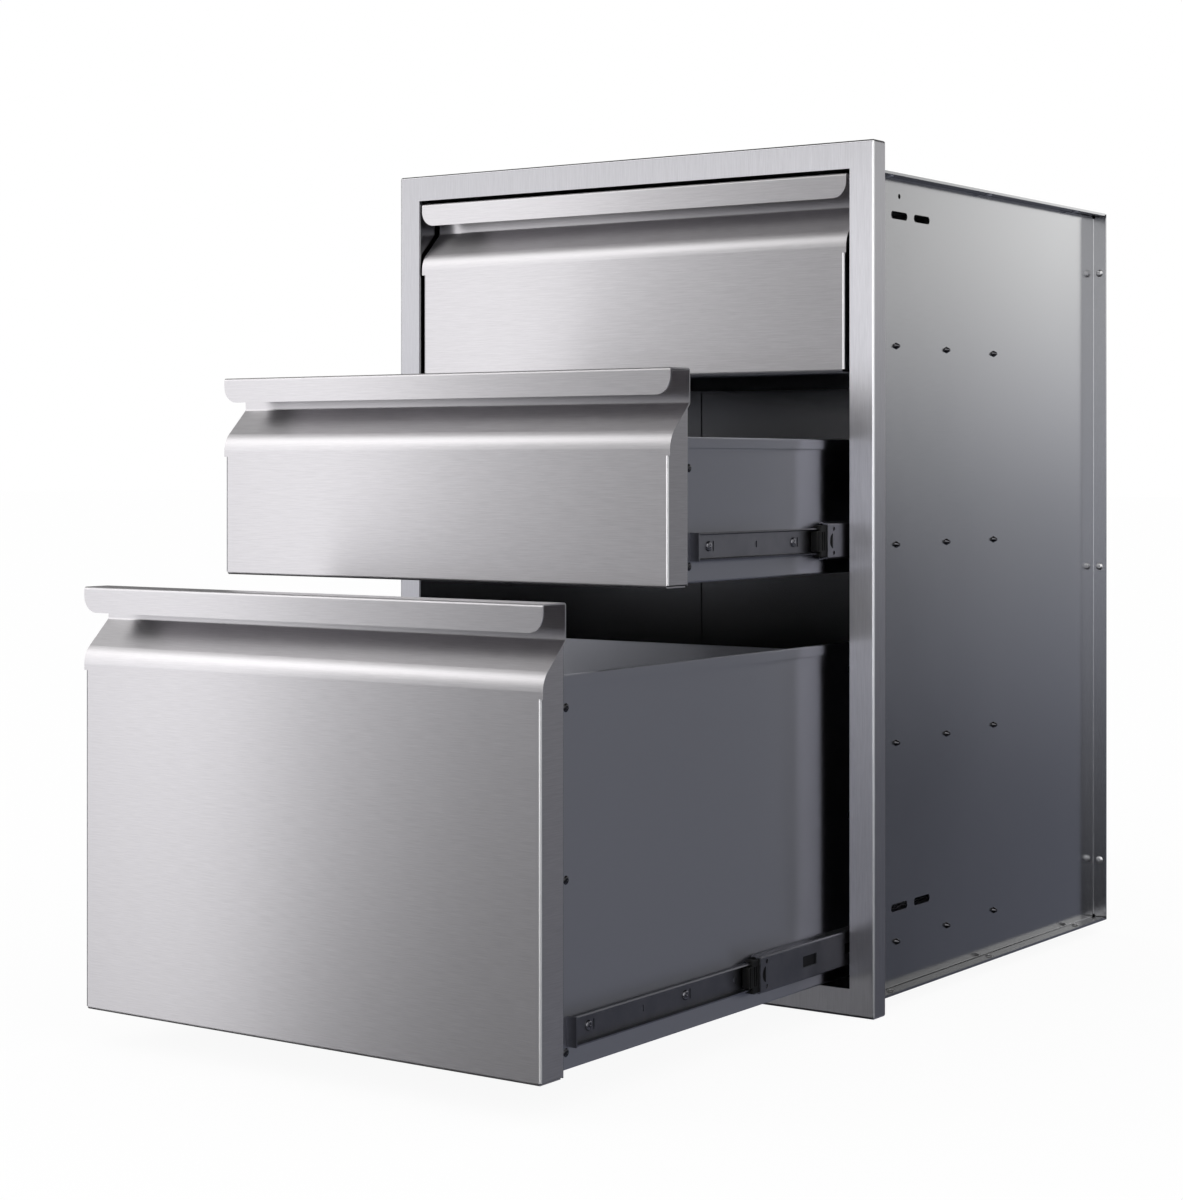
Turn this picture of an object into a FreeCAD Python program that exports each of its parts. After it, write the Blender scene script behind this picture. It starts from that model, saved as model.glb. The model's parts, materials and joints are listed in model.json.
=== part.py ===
"""Built-in outdoor kitchen drawer unit, as folded and riveted stainless sheet.

A face frame with returned edges carries a riveted sheet box. Three drawers run
in it on three-section ball bearing slides. Every drawer front is one bent skin
with a finger channel behind a hanging lip. Sizes are in millimetres.

The unit stands in a cut-out. X runs to the right, Y into the cut-out, Z up.
The origin is the middle of the cut-out's sill edge: the wall face is Y = 0 and
the sill under the box is Z = 0.
"""
import FreeCAD, Part
import math
import os

Vector = FreeCAD.Vector

# Face frame
FRAME_WIDTH = 457.0
FRAME_HEIGHT = 660.0
FRAME_FACE = 21.0
FRAME_RETURN = 17.0
FRAME_SHEET = 1.2
FRAME_BEND = 2.0
FRAME_DROP = 10.0

# Sheet box behind the frame
BOX_HEIGHT = 630.0
BOX_DEPTH = 445.0
BOX_SHEET = 1.0
BOX_BEND = 1.6
BOX_SIDE_STEP = 0.0
BOX_FLANGE = 12.0
FRONT_FLANGE = 11.0
CORNER_RELIEF = 2.0

# Rivets of the box
BOX_RIVET_RADIUS = 1.6
BOX_RIVET_HEAD = 3.2
BOX_RIVET_RISE = 1.1
BOX_RIVET_ROW = 3
BOX_RIVET_FRONT_INSET = 51.0
BOX_RIVET_REAR_INSET = 54.0
BOX_RIVET_END_INSET = 53.0

# Installation slots and the small hole above them
SLOT_LENGTH = 26.5
SLOT_WIDTH = 6.0
SLOT_PITCH = 37.5
SLOT_SETBACK = 77.0
SLOT_TOP_INSET = 30.5
SLOT_BOTTOM_INSET = 62.5
SMALL_HOLE_RADIUS = 2.0
SMALL_HOLE_RISE = 15.0

# Drawer fronts
SIDE_GAP = 3.0
TOP_GAP = 3.0
BOTTOM_GAP = 3.0
FRONT_GAP = 4.0
FRONT_SHEET = 1.0
FRONT_BEND = 2.0
FRONT_FOLD_INSET = 1.5
LIP_HEIGHT = 18.5
LIP_CORNER = 12.0
CHANNEL_DEPTH = 24.0
CHANNEL_HEIGHT = 24.0
CHANNEL_BEND = 3.0
SLOPE_ANGLE = 45.0
ROLL_RADIUS = 18.0
NOTCH_DROP = 60.0
EAR_CLEARANCE = 0.8
LINER_TOP_CLEARANCE = 1.2
LINER_EDGE = 1.0

# Drawer trays
TRAY_SHEET = 1.0
TRAY_BEND = 1.6
TRAY_TOP_DROP = 47.0
TRAY_RISE = 2.0
TRAY_REAR_GAP = 20.0
TRAY_HEM = 7.5
TRAY_HEM_GAP = 0.4
TRAY_END_FLANGE = 20.0
TRAY_END_DROP = 9.0
TRAY_RIVET_SETBACK = 13.5
TRAY_RIVET_LOW = 11.5
TRAY_RIVET_HIGH = 21.5
TRAY_RIVET_RADIUS = 1.6
TRAY_RIVET_HEAD = 3.0
TRAY_RIVET_RISE = 0.8
FRONT_SCREW_RADIUS = 2.0
FRONT_SCREW_HEAD = 4.0
FRONT_SCREW_RISE = 2.2
FRONT_SCREW_END = 4.0
FRONT_SCREW_INSET = 40.0
FRONT_SCREW_DROP = 30.0

# Ball bearing slides
SLIDE_THICKNESS = 12.7
SLIDE_REAR_GAP = 4.5
SLIDE_SHEET = 1.1
SLIDE_BEND = 1.5
SLIDE_RISE = 27.0
SLIDE_SETBACK = 39.5
SLIDE_SCREW_DROP = 5.0
CABINET_MEMBER_HEIGHT = 36.0
MIDDLE_MEMBER_HEIGHT = 29.0
MIDDLE_MEMBER_SHORTER = 17.0
MIDDLE_MEMBER_SETBACK = 56.5
DRAWER_MEMBER_HEIGHT = 19.8
DRAWER_MEMBER_SETBACK = 14.5
DRAWER_TAB_WIDTH = 7.5
OUTER_TRAVEL = 185.0
INNER_TRAVEL = 225.0

# Raceways: lines across the slide from the cabinet wall, and how deep they are rolled
CABINET_MEMBER_WIDTH = 8.8
CABINET_RACE_LEAD = 2.8
CABINET_RACE_DEPTH = 0.8
CABINET_RACE_RADIUS = 1.6
MIDDLE_WEB_OFFSET = 3.4
MIDDLE_MEMBER_WIDTH = 8.0
MIDDLE_CORNER_DROP = 0.35
MIDDLE_RACE_DEPTH = 1.55
MIDDLE_RACE_RADIUS = 1.5
MIDDLE_CROWN_RADIUS = 2.2
MIDDLE_LIP_DROP = 1.05
OUTER_BALL_LINE = 6.2
INNER_BALL_LINE = 9.4
DRAWER_MEMBER_WIDTH = 5.9
DRAWER_RACE_DEPTH = 0.8
DRAWER_RACE_RADIUS = 1.6
OUTER_BALL_RADIUS = 1.6
INNER_BALL_RADIUS = 1.9
CAGE_SHEET = 0.5
CAGE_GAP = 0.35
CAGE_BEND = 0.8
POCKET_CLEARANCE = 0.15
LIP_SETBACK = 0.6
OUTER_CAGE_LENGTH = 190.0
OUTER_CAGE_POCKETS = 5
INNER_CAGE_LENGTH = 145.0
INNER_CAGE_POCKETS = 4
CAGE_END_GAP = 4.0

# Windows and holes of the slides
MIDDLE_WINDOW_LENGTH = 20.0
MIDDLE_WINDOW_HEIGHT = 8.0
MIDDLE_WINDOW_FIRST = 70.0
MIDDLE_WINDOW_PITCH = 62.0
CRESCENT_RADIUS = 6.0
CRESCENT_SETBACK = 9.0
CRESCENT_DEPTH = 4.5
DOT_RADIUS = 1.5
DOT_RISE = 9.0
DRAWER_SCREW_FIRST = 37.2
DRAWER_SCREW_PITCH = 116.0
DRAWER_SCREW_COUNT = 3
DRAWER_SLOT_OFFSET = 6.0
DRAWER_SLOT_WIDTH = 1.5
DRAWER_SLOT_HEIGHT = 7.0
LANCE_OFFSET = 64.8
LANCE_RADIUS = 2.4
DRAWER_SCREW_RADIUS = 1.9
DRAWER_SCREW_HEAD = 3.6
DRAWER_SCREW_RISE = 1.3
DRAWER_SCREW_END = 3.0
CABINET_SCREW_FIRST = 72.0
CABINET_SCREW_PITCH = 85.0
CABINET_SCREW_COUNT = 3
CABINET_SCREW_RADIUS = 1.9
CABINET_SCREW_HEAD = 3.6
CABINET_SCREW_RISE = 1.0
NUT_RADIUS = 2.7
NUT_TIP_RADIUS = 1.2
NUT_RISE = 3.0
SCREW_HOLE_CLEARANCE = 0.1

# Domed heads of rivets and screws: where the dome turns down, as shares of head and rise
DOME_SHOULDER = 0.72
DOME_SHOULDER_RISE = 0.8

# Black end pieces of the middle members
BUMPER_REACH = 14.0
BUMPER_WING_REACH = 9.0
BUMPER_SEAT = 9.0
BUMPER_BAR = 1.3
BUMPER_GAP = 0.35
BUMPER_SCOOP = 14.0

# Photographed pose: how far each drawer and its middle members stand out
DRAWERS = ("top", "middle", "bottom")
FRONT_STACK = ("top", "middle", "bottom", "bottom")
DRAWER_OPEN = {"top": 0.0, "middle": 242.0, "bottom": 388.0}
MIDDLE_MEMBER_OPEN = {"top": 0.0, "middle": 83.0, "bottom": 180.0}
SIDES = ("left", "right")

# How far a cutter reaches past the sheet, and how close two places count as one
CUT_MARGIN = 1.0
SAME = 1e-6

# Derived places of the frame and the box
FACE_Y = -FRAME_RETURN
FRAME_BOTTOM = -FRAME_DROP
FRAME_TOP = FRAME_BOTTOM + FRAME_HEIGHT
OPENING_BOTTOM = FRAME_BOTTOM + FRAME_FACE
OPENING_TOP = FRAME_TOP - FRAME_FACE
OPENING_HALF = FRAME_WIDTH / 2 - FRAME_FACE
BOX_FRONT = FACE_Y + FRAME_SHEET
BOX_REAR = FACE_Y + BOX_DEPTH
SIDE_INNER = OPENING_HALF + BOX_SIDE_STEP
SIDE_OUTER = SIDE_INNER + BOX_SHEET
SIDE_BOTTOM = BOX_SHEET
SIDE_TOP = BOX_HEIGHT - BOX_SHEET
SIDE_REAR = BOX_REAR - BOX_SHEET
FLANGE_LINE = SIDE_OUTER + BOX_FLANGE / 2

# Derived places of the drawers
FRONT_WIDTH = 2 * (OPENING_HALF - SIDE_GAP)
FRONT_HALF = FRONT_WIDTH / 2
FOLD_HALF = FRONT_HALF - FRONT_FOLD_INSET
UNIT_COUNT = len(FRONT_STACK)
FRONT_SPACE = OPENING_TOP - OPENING_BOTTOM - TOP_GAP - BOTTOM_GAP
UNIT_PITCH = (FRONT_SPACE + FRONT_GAP) / UNIT_COUNT
FRONT_DEPTH = CHANNEL_DEPTH + FRONT_SHEET
TRAY_HALF = SIDE_INNER - SLIDE_THICKNESS
TRAY_DEPTH = BOX_DEPTH - BOX_SHEET - FRONT_DEPTH - TRAY_REAR_GAP
SLIDE_LENGTH = BOX_DEPTH - BOX_SHEET - SLIDE_SETBACK - SLIDE_REAR_GAP
MIDDLE_MEMBER_LENGTH = SLIDE_LENGTH - MIDDLE_MEMBER_SHORTER


def sheet_face(points, radii, thickness, place):
    """Face of a bent sheet seen edge on.

    The points run along one face of the sheet, and the sheet lies to their left,
    or to their right where its thickness is negative. Each inner point is a bend,
    whose radius is measured on that same face.
    """
    count = len(points)
    flat = [Vector(a, b, 0) for a, b in points]
    heading = [(flat[i + 1] - flat[i]).normalize() for i in range(count - 1)]
    normal = [Vector(-h.y, h.x, 0) for h in heading]

    def side(offset):
        corners = [(flat[0] + normal[0] * offset, None, None)]
        for i in range(1, count - 1):
            before = heading[i - 1]
            after = heading[i]
            turn = math.atan2(before.x * after.y - before.y * after.x, before.dot(after))
            sign = 1 if turn > 0 else -1
            reach = radii[i - 1] * math.tan(abs(turn) / 2)
            start = flat[i] - before * reach
            end = flat[i] + after * reach
            centre = start + normal[i - 1] * sign * radii[i - 1]
            middle = centre + (flat[i] - centre).normalize() * (radii[i - 1] - sign * offset)
            corners.append((start + normal[i - 1] * offset, middle, end + normal[i] * offset))
        corners.append((flat[-1] + normal[-1] * offset, None, None))
        return corners

    def edges(corners):
        made = []
        here = corners[0][0]
        for start, middle, end in corners[1:]:
            if (start - here).Length > SAME:
                made.append(Part.LineSegment(place(here), place(start)).toShape())
            here = start
            if middle is not None and (end - start).Length > SAME:
                made.append(Part.Arc(place(start), place(middle), place(end)).toShape())
                here = end
        return made

    near = side(0.0)
    far = side(thickness)
    cap_end = Part.LineSegment(place(near[-1][0]), place(far[-1][0])).toShape()
    cap_start = Part.LineSegment(place(far[0][0]), place(near[0][0])).toShape()
    outline = edges(near) + [cap_end] + edges(far) + [cap_start]
    return Part.Face(Part.Wire(Part.__sortEdges__(outline)))


def across(points, radii, thickness, x_low, x_high):
    """Bent sheet whose section lies in Y and Z, run from x_low to x_high."""
    face = sheet_face(points, radii, thickness, lambda p: Vector(x_low, p.x, p.y))
    return face.extrude(Vector(x_high - x_low, 0, 0))


def along(points, radii, thickness, y_low, y_high):
    """Bent sheet whose section lies in X and Z, run from y_low to y_high."""
    face = sheet_face(points, radii, thickness, lambda p: Vector(p.x, y_low, p.y))
    return face.extrude(Vector(0, y_high - y_low, 0))


def upright(points, radii, thickness, z_low, z_high):
    """Bent sheet whose section lies in X and Y, run from z_low to z_high."""
    face = sheet_face(points, radii, thickness, lambda p: Vector(p.x, p.y, z_low))
    return face.extrude(Vector(0, 0, z_high - z_low))


def block(x_low, x_high, y_low, y_high, z_low, z_high):
    return Part.makeBox(x_high - x_low, y_high - y_low, z_high - z_low, Vector(x_low, y_low, z_low))


def rod(radius, start, direction, length):
    return Part.makeCylinder(radius, length, start, direction)


def hole_x(radius, x_low, x_high, y, z):
    """Round cutter along X, through everything between two places."""
    return rod(radius, Vector(x_low - CUT_MARGIN, y, z), Vector(1, 0, 0), x_high - x_low + 2 * CUT_MARGIN)


def hole_y(radius, x, y_low, y_high, z):
    """Round cutter along Y, through everything between two places."""
    return rod(radius, Vector(x, y_low - CUT_MARGIN, z), Vector(0, 1, 0), y_high - y_low + 2 * CUT_MARGIN)


def slot_cutter(length, width, x_low, x_high, y, z):
    """Round-ended slot that lies along Y, cut along X."""
    straight = (length - width) / 2
    half = width / 2
    bar = block(x_low - CUT_MARGIN, x_high + CUT_MARGIN, y - straight, y + straight, z - half, z + half)
    ends = [hole_x(half, x_low, x_high, end, z) for end in (y - straight, y + straight)]
    return bar.fuse(ends)


def mirrored(shape):
    return shape.mirror(Vector(0, 0, 0), Vector(1, 0, 0))


def for_side(shape, side):
    """A shape modelled on the right is mirrored for the left."""
    return mirrored(shape) if side == "left" else shape


def pair(shape):
    return [mirrored(shape), shape]


def rivet(radius, head, rise, start, direction, grip):
    """Rivet whose domed head stands on the face at start, with its flush shank behind it."""
    profile = [
        Vector(0, 0, -grip),
        Vector(radius, 0, -grip),
        Vector(radius, 0, 0),
        Vector(head, 0, 0),
        Vector(head * DOME_SHOULDER, 0, rise * DOME_SHOULDER_RISE),
        Vector(0, 0, rise),
        Vector(0, 0, -grip),
    ]
    solid = Part.Face(Part.makePolygon(profile)).revolve(Vector(0, 0, 0), Vector(0, 0, 1), 360)
    solid.Placement = FreeCAD.Placement(start, FreeCAD.Rotation(Vector(0, 0, 1), direction))
    return solid


def box_rivet_line():
    """Y places of the rivets on the top and bottom edges of the box."""
    first = FACE_Y + BOX_RIVET_FRONT_INSET
    last = BOX_REAR - BOX_RIVET_REAR_INSET
    return [first + (last - first) * i / (BOX_RIVET_ROW - 1) for i in range(BOX_RIVET_ROW)]


def box_rivet_column():
    """Z places of the rivets on the rear edges of the box."""
    first = BOX_RIVET_END_INSET
    last = BOX_HEIGHT - BOX_RIVET_END_INSET
    return [first + (last - first) * i / (BOX_RIVET_ROW - 1) for i in range(BOX_RIVET_ROW)]


def box_rivet_seats():
    """Head face, outward direction and rivet axis places, for the right side."""
    seats = []
    for y in box_rivet_line():
        seats.append((Vector(FLANGE_LINE, y, SIDE_TOP - BOX_SHEET), Vector(0, 0, -1)))
        seats.append((Vector(FLANGE_LINE, y, SIDE_BOTTOM + BOX_SHEET), Vector(0, 0, 1)))
    for z in box_rivet_column():
        seats.append((Vector(FLANGE_LINE, SIDE_REAR - BOX_SHEET, z), Vector(0, -1, 0)))
    return seats


def rivet_holes():
    """Cutters for the box rivets of both sides."""
    cutters = []
    for seat, direction in box_rivet_seats():
        start = seat + direction * CUT_MARGIN
        cutters += pair(rod(BOX_RIVET_RADIUS, start, direction * -1, 2 * BOX_SHEET + 2 * CUT_MARGIN))
    return cutters


def front_bottom(drawer):
    """Lower edge of a drawer front, counted down from the top of the opening."""
    units_down = FRONT_STACK.index(drawer) + FRONT_STACK.count(drawer)
    return OPENING_TOP - TOP_GAP - units_down * UNIT_PITCH + FRONT_GAP


def front_top(drawer):
    return OPENING_TOP - TOP_GAP - FRONT_STACK.index(drawer) * UNIT_PITCH


def slide_line(drawer):
    """Height of the centre line of a drawer's slides."""
    return front_bottom(drawer) + SLIDE_RISE


def screw_rows():
    """Heights of the screw rows: one for each unit, so that one row is spare."""
    lowest = slide_line("bottom") - SLIDE_SCREW_DROP
    return [lowest + UNIT_PITCH * i for i in range(UNIT_COUNT)]


def cabinet_screw_line():
    first = FACE_Y + CABINET_SCREW_FIRST
    return [first + CABINET_SCREW_PITCH * i for i in range(CABINET_SCREW_COUNT)]


def rounded_block(radius, half, y_low, y_high, z_low, z_high):
    """Block whose front edges and whose edges that run back from them are rounded."""
    solid = block(-half, half, y_low, y_high, z_low, z_high)
    bends = [e for e in solid.Edges if e.BoundBox.YMax < y_low + SAME or e.BoundBox.YLength > radius]
    return solid.makeFillet(radius, bends)


def face_frame():
    """One sheet with an opening, all four edges returned towards the wall."""
    half = FRAME_WIDTH / 2
    outer = rounded_block(FRAME_BEND, half, FACE_Y, 0, FRAME_BOTTOM, FRAME_TOP)
    inner = rounded_block(FRAME_BEND - FRAME_SHEET, half - FRAME_SHEET, BOX_FRONT, CUT_MARGIN,
                          FRAME_BOTTOM + FRAME_SHEET, FRAME_TOP - FRAME_SHEET)
    opening = block(-OPENING_HALF, OPENING_HALF, FACE_Y - CUT_MARGIN, CUT_MARGIN, OPENING_BOTTOM, OPENING_TOP)
    return outer.cut(inner).cut(opening)


def side_panel():
    """Right side: a web with outward flanges on all four edges and relieved corners."""
    tip = SIDE_OUTER + BOX_FLANGE
    front_tip = SIDE_OUTER + FRONT_FLANGE
    short_of_bend = BOX_SHEET + CORNER_RELIEF
    bends = [BOX_BEND, BOX_BEND]
    height = [(tip, SIDE_BOTTOM), (SIDE_INNER, SIDE_BOTTOM), (SIDE_INNER, SIDE_TOP), (tip, SIDE_TOP)]
    crosswise = along(height, bends, -BOX_SHEET, BOX_FRONT + short_of_bend, SIDE_REAR - short_of_bend)
    depth = [(front_tip, BOX_FRONT), (SIDE_INNER, BOX_FRONT), (SIDE_INNER, SIDE_REAR), (tip, SIDE_REAR)]
    lengthwise = upright(depth, bends, -BOX_SHEET, SIDE_BOTTOM + short_of_bend, SIDE_TOP - short_of_bend)
    panel = crosswise.fuse(lengthwise).removeSplitter()
    return panel.cut(rivet_holes() + side_openings())


def side_openings():
    """Slots, small hole and screw holes through the web of the right side."""
    slot_y = FACE_Y + SLOT_SETBACK
    slot_top = BOX_HEIGHT - SLOT_TOP_INSET
    cutters = [hole_x(SMALL_HOLE_RADIUS, SIDE_INNER, SIDE_OUTER, slot_y, slot_top + SMALL_HOLE_RISE)]
    for z in (SLOT_BOTTOM_INSET, slot_top):
        for y in (slot_y, slot_y + SLOT_PITCH):
            cutters.append(slot_cutter(SLOT_LENGTH, SLOT_WIDTH, SIDE_INNER, SIDE_OUTER, y, z))
    radius = CABINET_SCREW_RADIUS + SCREW_HOLE_CLEARANCE
    for z in screw_rows():
        for y in cabinet_screw_line():
            cutters.append(hole_x(radius, SIDE_INNER, SIDE_OUTER, y, z))
    return cutters


def top_panel():
    """Lid of the box on the side flanges, its front edge turned up behind the frame."""
    half = SIDE_OUTER + BOX_FLANGE
    low = BOX_HEIGHT - BOX_SHEET
    section = [(BOX_FRONT, BOX_HEIGHT + FRONT_FLANGE), (BOX_FRONT, low), (SIDE_REAR, low)]
    return across(section, [BOX_BEND], BOX_SHEET, -half, half).cut(rivet_holes())


def bottom_panel():
    """Floor of the box under the side flanges, its front edge turned up behind the frame."""
    half = SIDE_OUTER + BOX_FLANGE
    front_half = SIDE_INNER - CORNER_RELIEF
    flat = block(-half, half, BOX_FRONT + BOX_BEND + CORNER_RELIEF, SIDE_REAR, 0, BOX_SHEET)
    section = [(BOX_FRONT, FRONT_FLANGE), (BOX_FRONT, 0), (SIDE_REAR, 0)]
    turned = across(section, [BOX_BEND], BOX_SHEET, -front_half, front_half)
    return flat.fuse(turned).removeSplitter().cut(rivet_holes())


def back_panel():
    """Flat back riveted on the rear flanges."""
    half = SIDE_OUTER + BOX_FLANGE
    sheet = block(-half, half, SIDE_REAR, BOX_REAR, 0, BOX_HEIGHT)
    return sheet.cut(rivet_holes())


def box_rivets():
    solids = []
    for seat, direction in box_rivet_seats():
        one = rivet(BOX_RIVET_RADIUS, BOX_RIVET_HEAD, BOX_RIVET_RISE, seat, direction, 2 * BOX_SHEET)
        solids += pair(one)
    return solids


def lean():
    """How far the slope runs down for each millimetre that it runs forward."""
    return math.tan(math.radians(SLOPE_ANGLE))


def slope_shift(distance):
    """Height lost when the slope's line is moved square to itself by a distance."""
    return distance / math.cos(math.radians(SLOPE_ANGLE))


def rear_slope_start(top):
    """Height at which the slope leaves the channel's wall, on the hidden face."""
    visible = top - CHANNEL_HEIGHT
    return visible + FRONT_SHEET * lean() - slope_shift(FRONT_SHEET)


def front_skin(drawer):
    """Lip, finger channel, slope and flat face, bent from one sheet with folded sides."""
    top = front_top(drawer)
    bottom = front_bottom(drawer)
    notch = top - NOTCH_DROP
    start = rear_slope_start(top)
    rear_y = FRONT_SHEET
    landing = start - (FRONT_DEPTH - rear_y) * lean()
    section = [(0, top - LIP_HEIGHT), (0, top), (FRONT_DEPTH, top), (FRONT_DEPTH, start),
               (rear_y, landing), (rear_y, notch)]
    bends = [FRONT_BEND, FRONT_BEND, CHANNEL_BEND, ROLL_RADIUS - FRONT_SHEET]
    upper = across(section, bends, -FRONT_SHEET, -FRONT_HALF, FRONT_HALF)
    relief = FRONT_BEND
    sides = [(-FOLD_HALF, CHANNEL_DEPTH), (-FOLD_HALF, 0), (FOLD_HALF, 0), (FOLD_HALF, CHANNEL_DEPTH)]
    folded = upright(sides, [FRONT_BEND, FRONT_BEND], FRONT_SHEET, bottom + relief, notch)
    foot = [(0, notch), (0, bottom), (CHANNEL_DEPTH, bottom)]
    turned = across(foot, [FRONT_BEND], FRONT_SHEET, -FOLD_HALF + relief, FOLD_HALF - relief)
    ears = [ear(start, landing, notch)]
    ears.append(mirrored(ears[0]))
    skin = upper.fuse([folded, turned] + ears).removeSplitter()
    corners = [lip_corner(top)]
    corners.append(mirrored(corners[0]))
    return skin.cut(corners)


def ear(start, landing, notch):
    """Tongue of the side flange that runs on up behind the rolled edge of the skin."""
    gap = EAR_CLEARANCE
    drop = slope_shift(gap) - gap * lean()
    back = CHANNEL_DEPTH
    inner = FRONT_SHEET + gap
    radius = ROLL_RADIUS - FRONT_SHEET - gap
    half_turn = math.radians(90 - SLOPE_ANGLE) / 2
    reach = radius * math.tan(half_turn)
    corner_z = landing - drop
    line_top = start - (FRONT_DEPTH - back) * lean() - slope_shift(gap)
    roll_start = Vector(FOLD_HALF, inner, corner_z - reach)
    roll_end = Vector(FOLD_HALF, inner + reach * math.cos(math.radians(SLOPE_ANGLE)),
                      corner_z + reach * math.sin(math.radians(SLOPE_ANGLE)))
    centre = Vector(FOLD_HALF, inner + radius, corner_z - reach)
    corner = Vector(FOLD_HALF, inner, corner_z)
    roll_middle = centre + (corner - centre).normalize() * radius
    foot = notch - FRONT_BEND
    outline = [
        Part.LineSegment(Vector(FOLD_HALF, inner, foot), roll_start).toShape(),
        Part.Arc(roll_start, roll_middle, roll_end).toShape(),
        Part.LineSegment(roll_end, Vector(FOLD_HALF, back, line_top)).toShape(),
        Part.LineSegment(Vector(FOLD_HALF, back, line_top), Vector(FOLD_HALF, back, foot)).toShape(),
        Part.LineSegment(Vector(FOLD_HALF, back, foot), Vector(FOLD_HALF, inner, foot)).toShape(),
    ]
    return Part.Face(Part.Wire(outline)).extrude(Vector(-FRONT_SHEET, 0, 0))


def lip_corner(top):
    """Cutter that rounds the lip's lower right corner."""
    low = top - LIP_HEIGHT
    x = FRONT_HALF - LIP_CORNER
    z = low + LIP_CORNER
    square = block(x, FRONT_HALF + CUT_MARGIN, -CUT_MARGIN, FRONT_SHEET + CUT_MARGIN, low - CUT_MARGIN, z)
    return square.cut(hole_y(LIP_CORNER, x, -CUT_MARGIN, FRONT_SHEET + CUT_MARGIN, z))


def front_liner(drawer):
    """Flat panel that closes the hollow front on the rear edges of its flanges."""
    top = rear_slope_start(front_top(drawer)) - FRONT_SHEET * lean() - LINER_TOP_CLEARANCE
    bottom = front_bottom(drawer) + LINER_EDGE
    half = FOLD_HALF - LINER_EDGE / 2
    panel = block(-half, half, CHANNEL_DEPTH, FRONT_DEPTH, bottom, top)
    return panel.cut(front_screw_holes(drawer, CHANNEL_DEPTH, FRONT_DEPTH))


def tray_bottom(drawer):
    return front_bottom(drawer) + TRAY_RISE


def tray_top(drawer):
    return front_top(drawer) - TRAY_TOP_DROP


def tray(drawer):
    """Floor and both sides in one sheet, with hems folded outwards on the top edges."""
    low = tray_bottom(drawer)
    high = tray_top(drawer)
    y_low = FRONT_DEPTH
    y_high = FRONT_DEPTH + TRAY_DEPTH
    inner = TRAY_HALF - TRAY_SHEET
    hem_line = TRAY_HALF + TRAY_HEM_GAP + TRAY_SHEET
    hem_radius = (hem_line - inner) / 2
    half_section = [(inner, low + TRAY_SHEET), (inner, high), (hem_line, high), (hem_line, high - TRAY_HEM)]
    section = [(-x, z) for x, z in reversed(half_section)] + half_section
    half_bends = [TRAY_BEND - TRAY_SHEET, hem_radius, hem_radius]
    sheet = along(section, list(reversed(half_bends)) + half_bends, -TRAY_SHEET, y_low, y_high)
    cutters = side_rivet_holes(drawer, inner, TRAY_HALF)
    radius = DRAWER_SCREW_RADIUS + SCREW_HOLE_CLEARANCE
    for y in drawer_screw_line():
        cutters += pair(hole_x(radius, inner, TRAY_HALF, y, slide_line(drawer)))
    return sheet.cut(cutters)


def tray_end_span(drawer):
    """Lower and upper edge of the trays' end walls."""
    return tray_bottom(drawer) + TRAY_BEND, tray_top(drawer) - TRAY_END_DROP


def tray_end(drawer, y, inward):
    """End wall of the tray, its sides turned inward along the tray's sides."""
    low, high = tray_end_span(drawer)
    half = TRAY_HALF - TRAY_SHEET
    tip = y + inward * TRAY_END_FLANGE
    section = [(-half, tip), (-half, y), (half, y), (half, tip)]
    wall = upright(section, [TRAY_BEND, TRAY_BEND], inward * TRAY_SHEET, low, high)
    return wall.cut(side_rivet_holes(drawer, half - TRAY_SHEET, half))


def tray_front(drawer):
    """Front wall of the tray on the liner, with the holes of the screws between them."""
    wall = tray_end(drawer, FRONT_DEPTH, 1)
    return wall.cut(front_screw_holes(drawer, FRONT_DEPTH, FRONT_DEPTH + TRAY_SHEET))


def tray_back(drawer):
    return tray_end(drawer, FRONT_DEPTH + TRAY_DEPTH, -1)


def side_rivet_holes(drawer, x_low, x_high):
    cutters = []
    for y, z in tray_rivet_places(drawer):
        cutters += pair(hole_x(TRAY_RIVET_RADIUS, x_low, x_high, y, z))
    return cutters


def tray_rivet_places(drawer):
    """Rivets near both ends of a tray side: two in a low side, three in a tall one."""
    low = tray_bottom(drawer) + TRAY_RIVET_LOW
    high = tray_top(drawer) - TRAY_RIVET_HIGH
    rows = FRONT_STACK.count(drawer) + 1
    ends = (FRONT_DEPTH + TRAY_RIVET_SETBACK, FRONT_DEPTH + TRAY_DEPTH - TRAY_RIVET_SETBACK)
    return [(y, low + (high - low) * i / (rows - 1)) for y in ends for i in range(rows)]


def tray_rivets(drawer):
    solids = []
    for y, z in tray_rivet_places(drawer):
        one = rivet(TRAY_RIVET_RADIUS, TRAY_RIVET_HEAD, TRAY_RIVET_RISE, Vector(TRAY_HALF, y, z),
                    Vector(1, 0, 0), 2 * TRAY_SHEET)
        solids += pair(one)
    return solids


def front_screw_places(drawer):
    """Four screws that hold the tray's front wall to the liner."""
    x = TRAY_HALF - FRONT_SCREW_INSET
    low, high = tray_end_span(drawer)
    return [(sx * x, z) for sx in (-1, 1) for z in (low + FRONT_SCREW_DROP, high - FRONT_SCREW_DROP / 2)]


def front_screw_holes(drawer, y_low, y_high):
    radius = FRONT_SCREW_RADIUS + SCREW_HOLE_CLEARANCE
    return [hole_y(radius, x, y_low, y_high, z) for x, z in front_screw_places(drawer)]


def front_screws(drawer):
    solids = []
    seat = FRONT_DEPTH + TRAY_SHEET
    for x, z in front_screw_places(drawer):
        solids.append(rivet(FRONT_SCREW_RADIUS, FRONT_SCREW_HEAD, FRONT_SCREW_RISE, Vector(x, seat, z),
                            Vector(0, 1, 0), TRAY_SHEET + FRONT_SHEET + FRONT_SCREW_END))
    return solids


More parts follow.
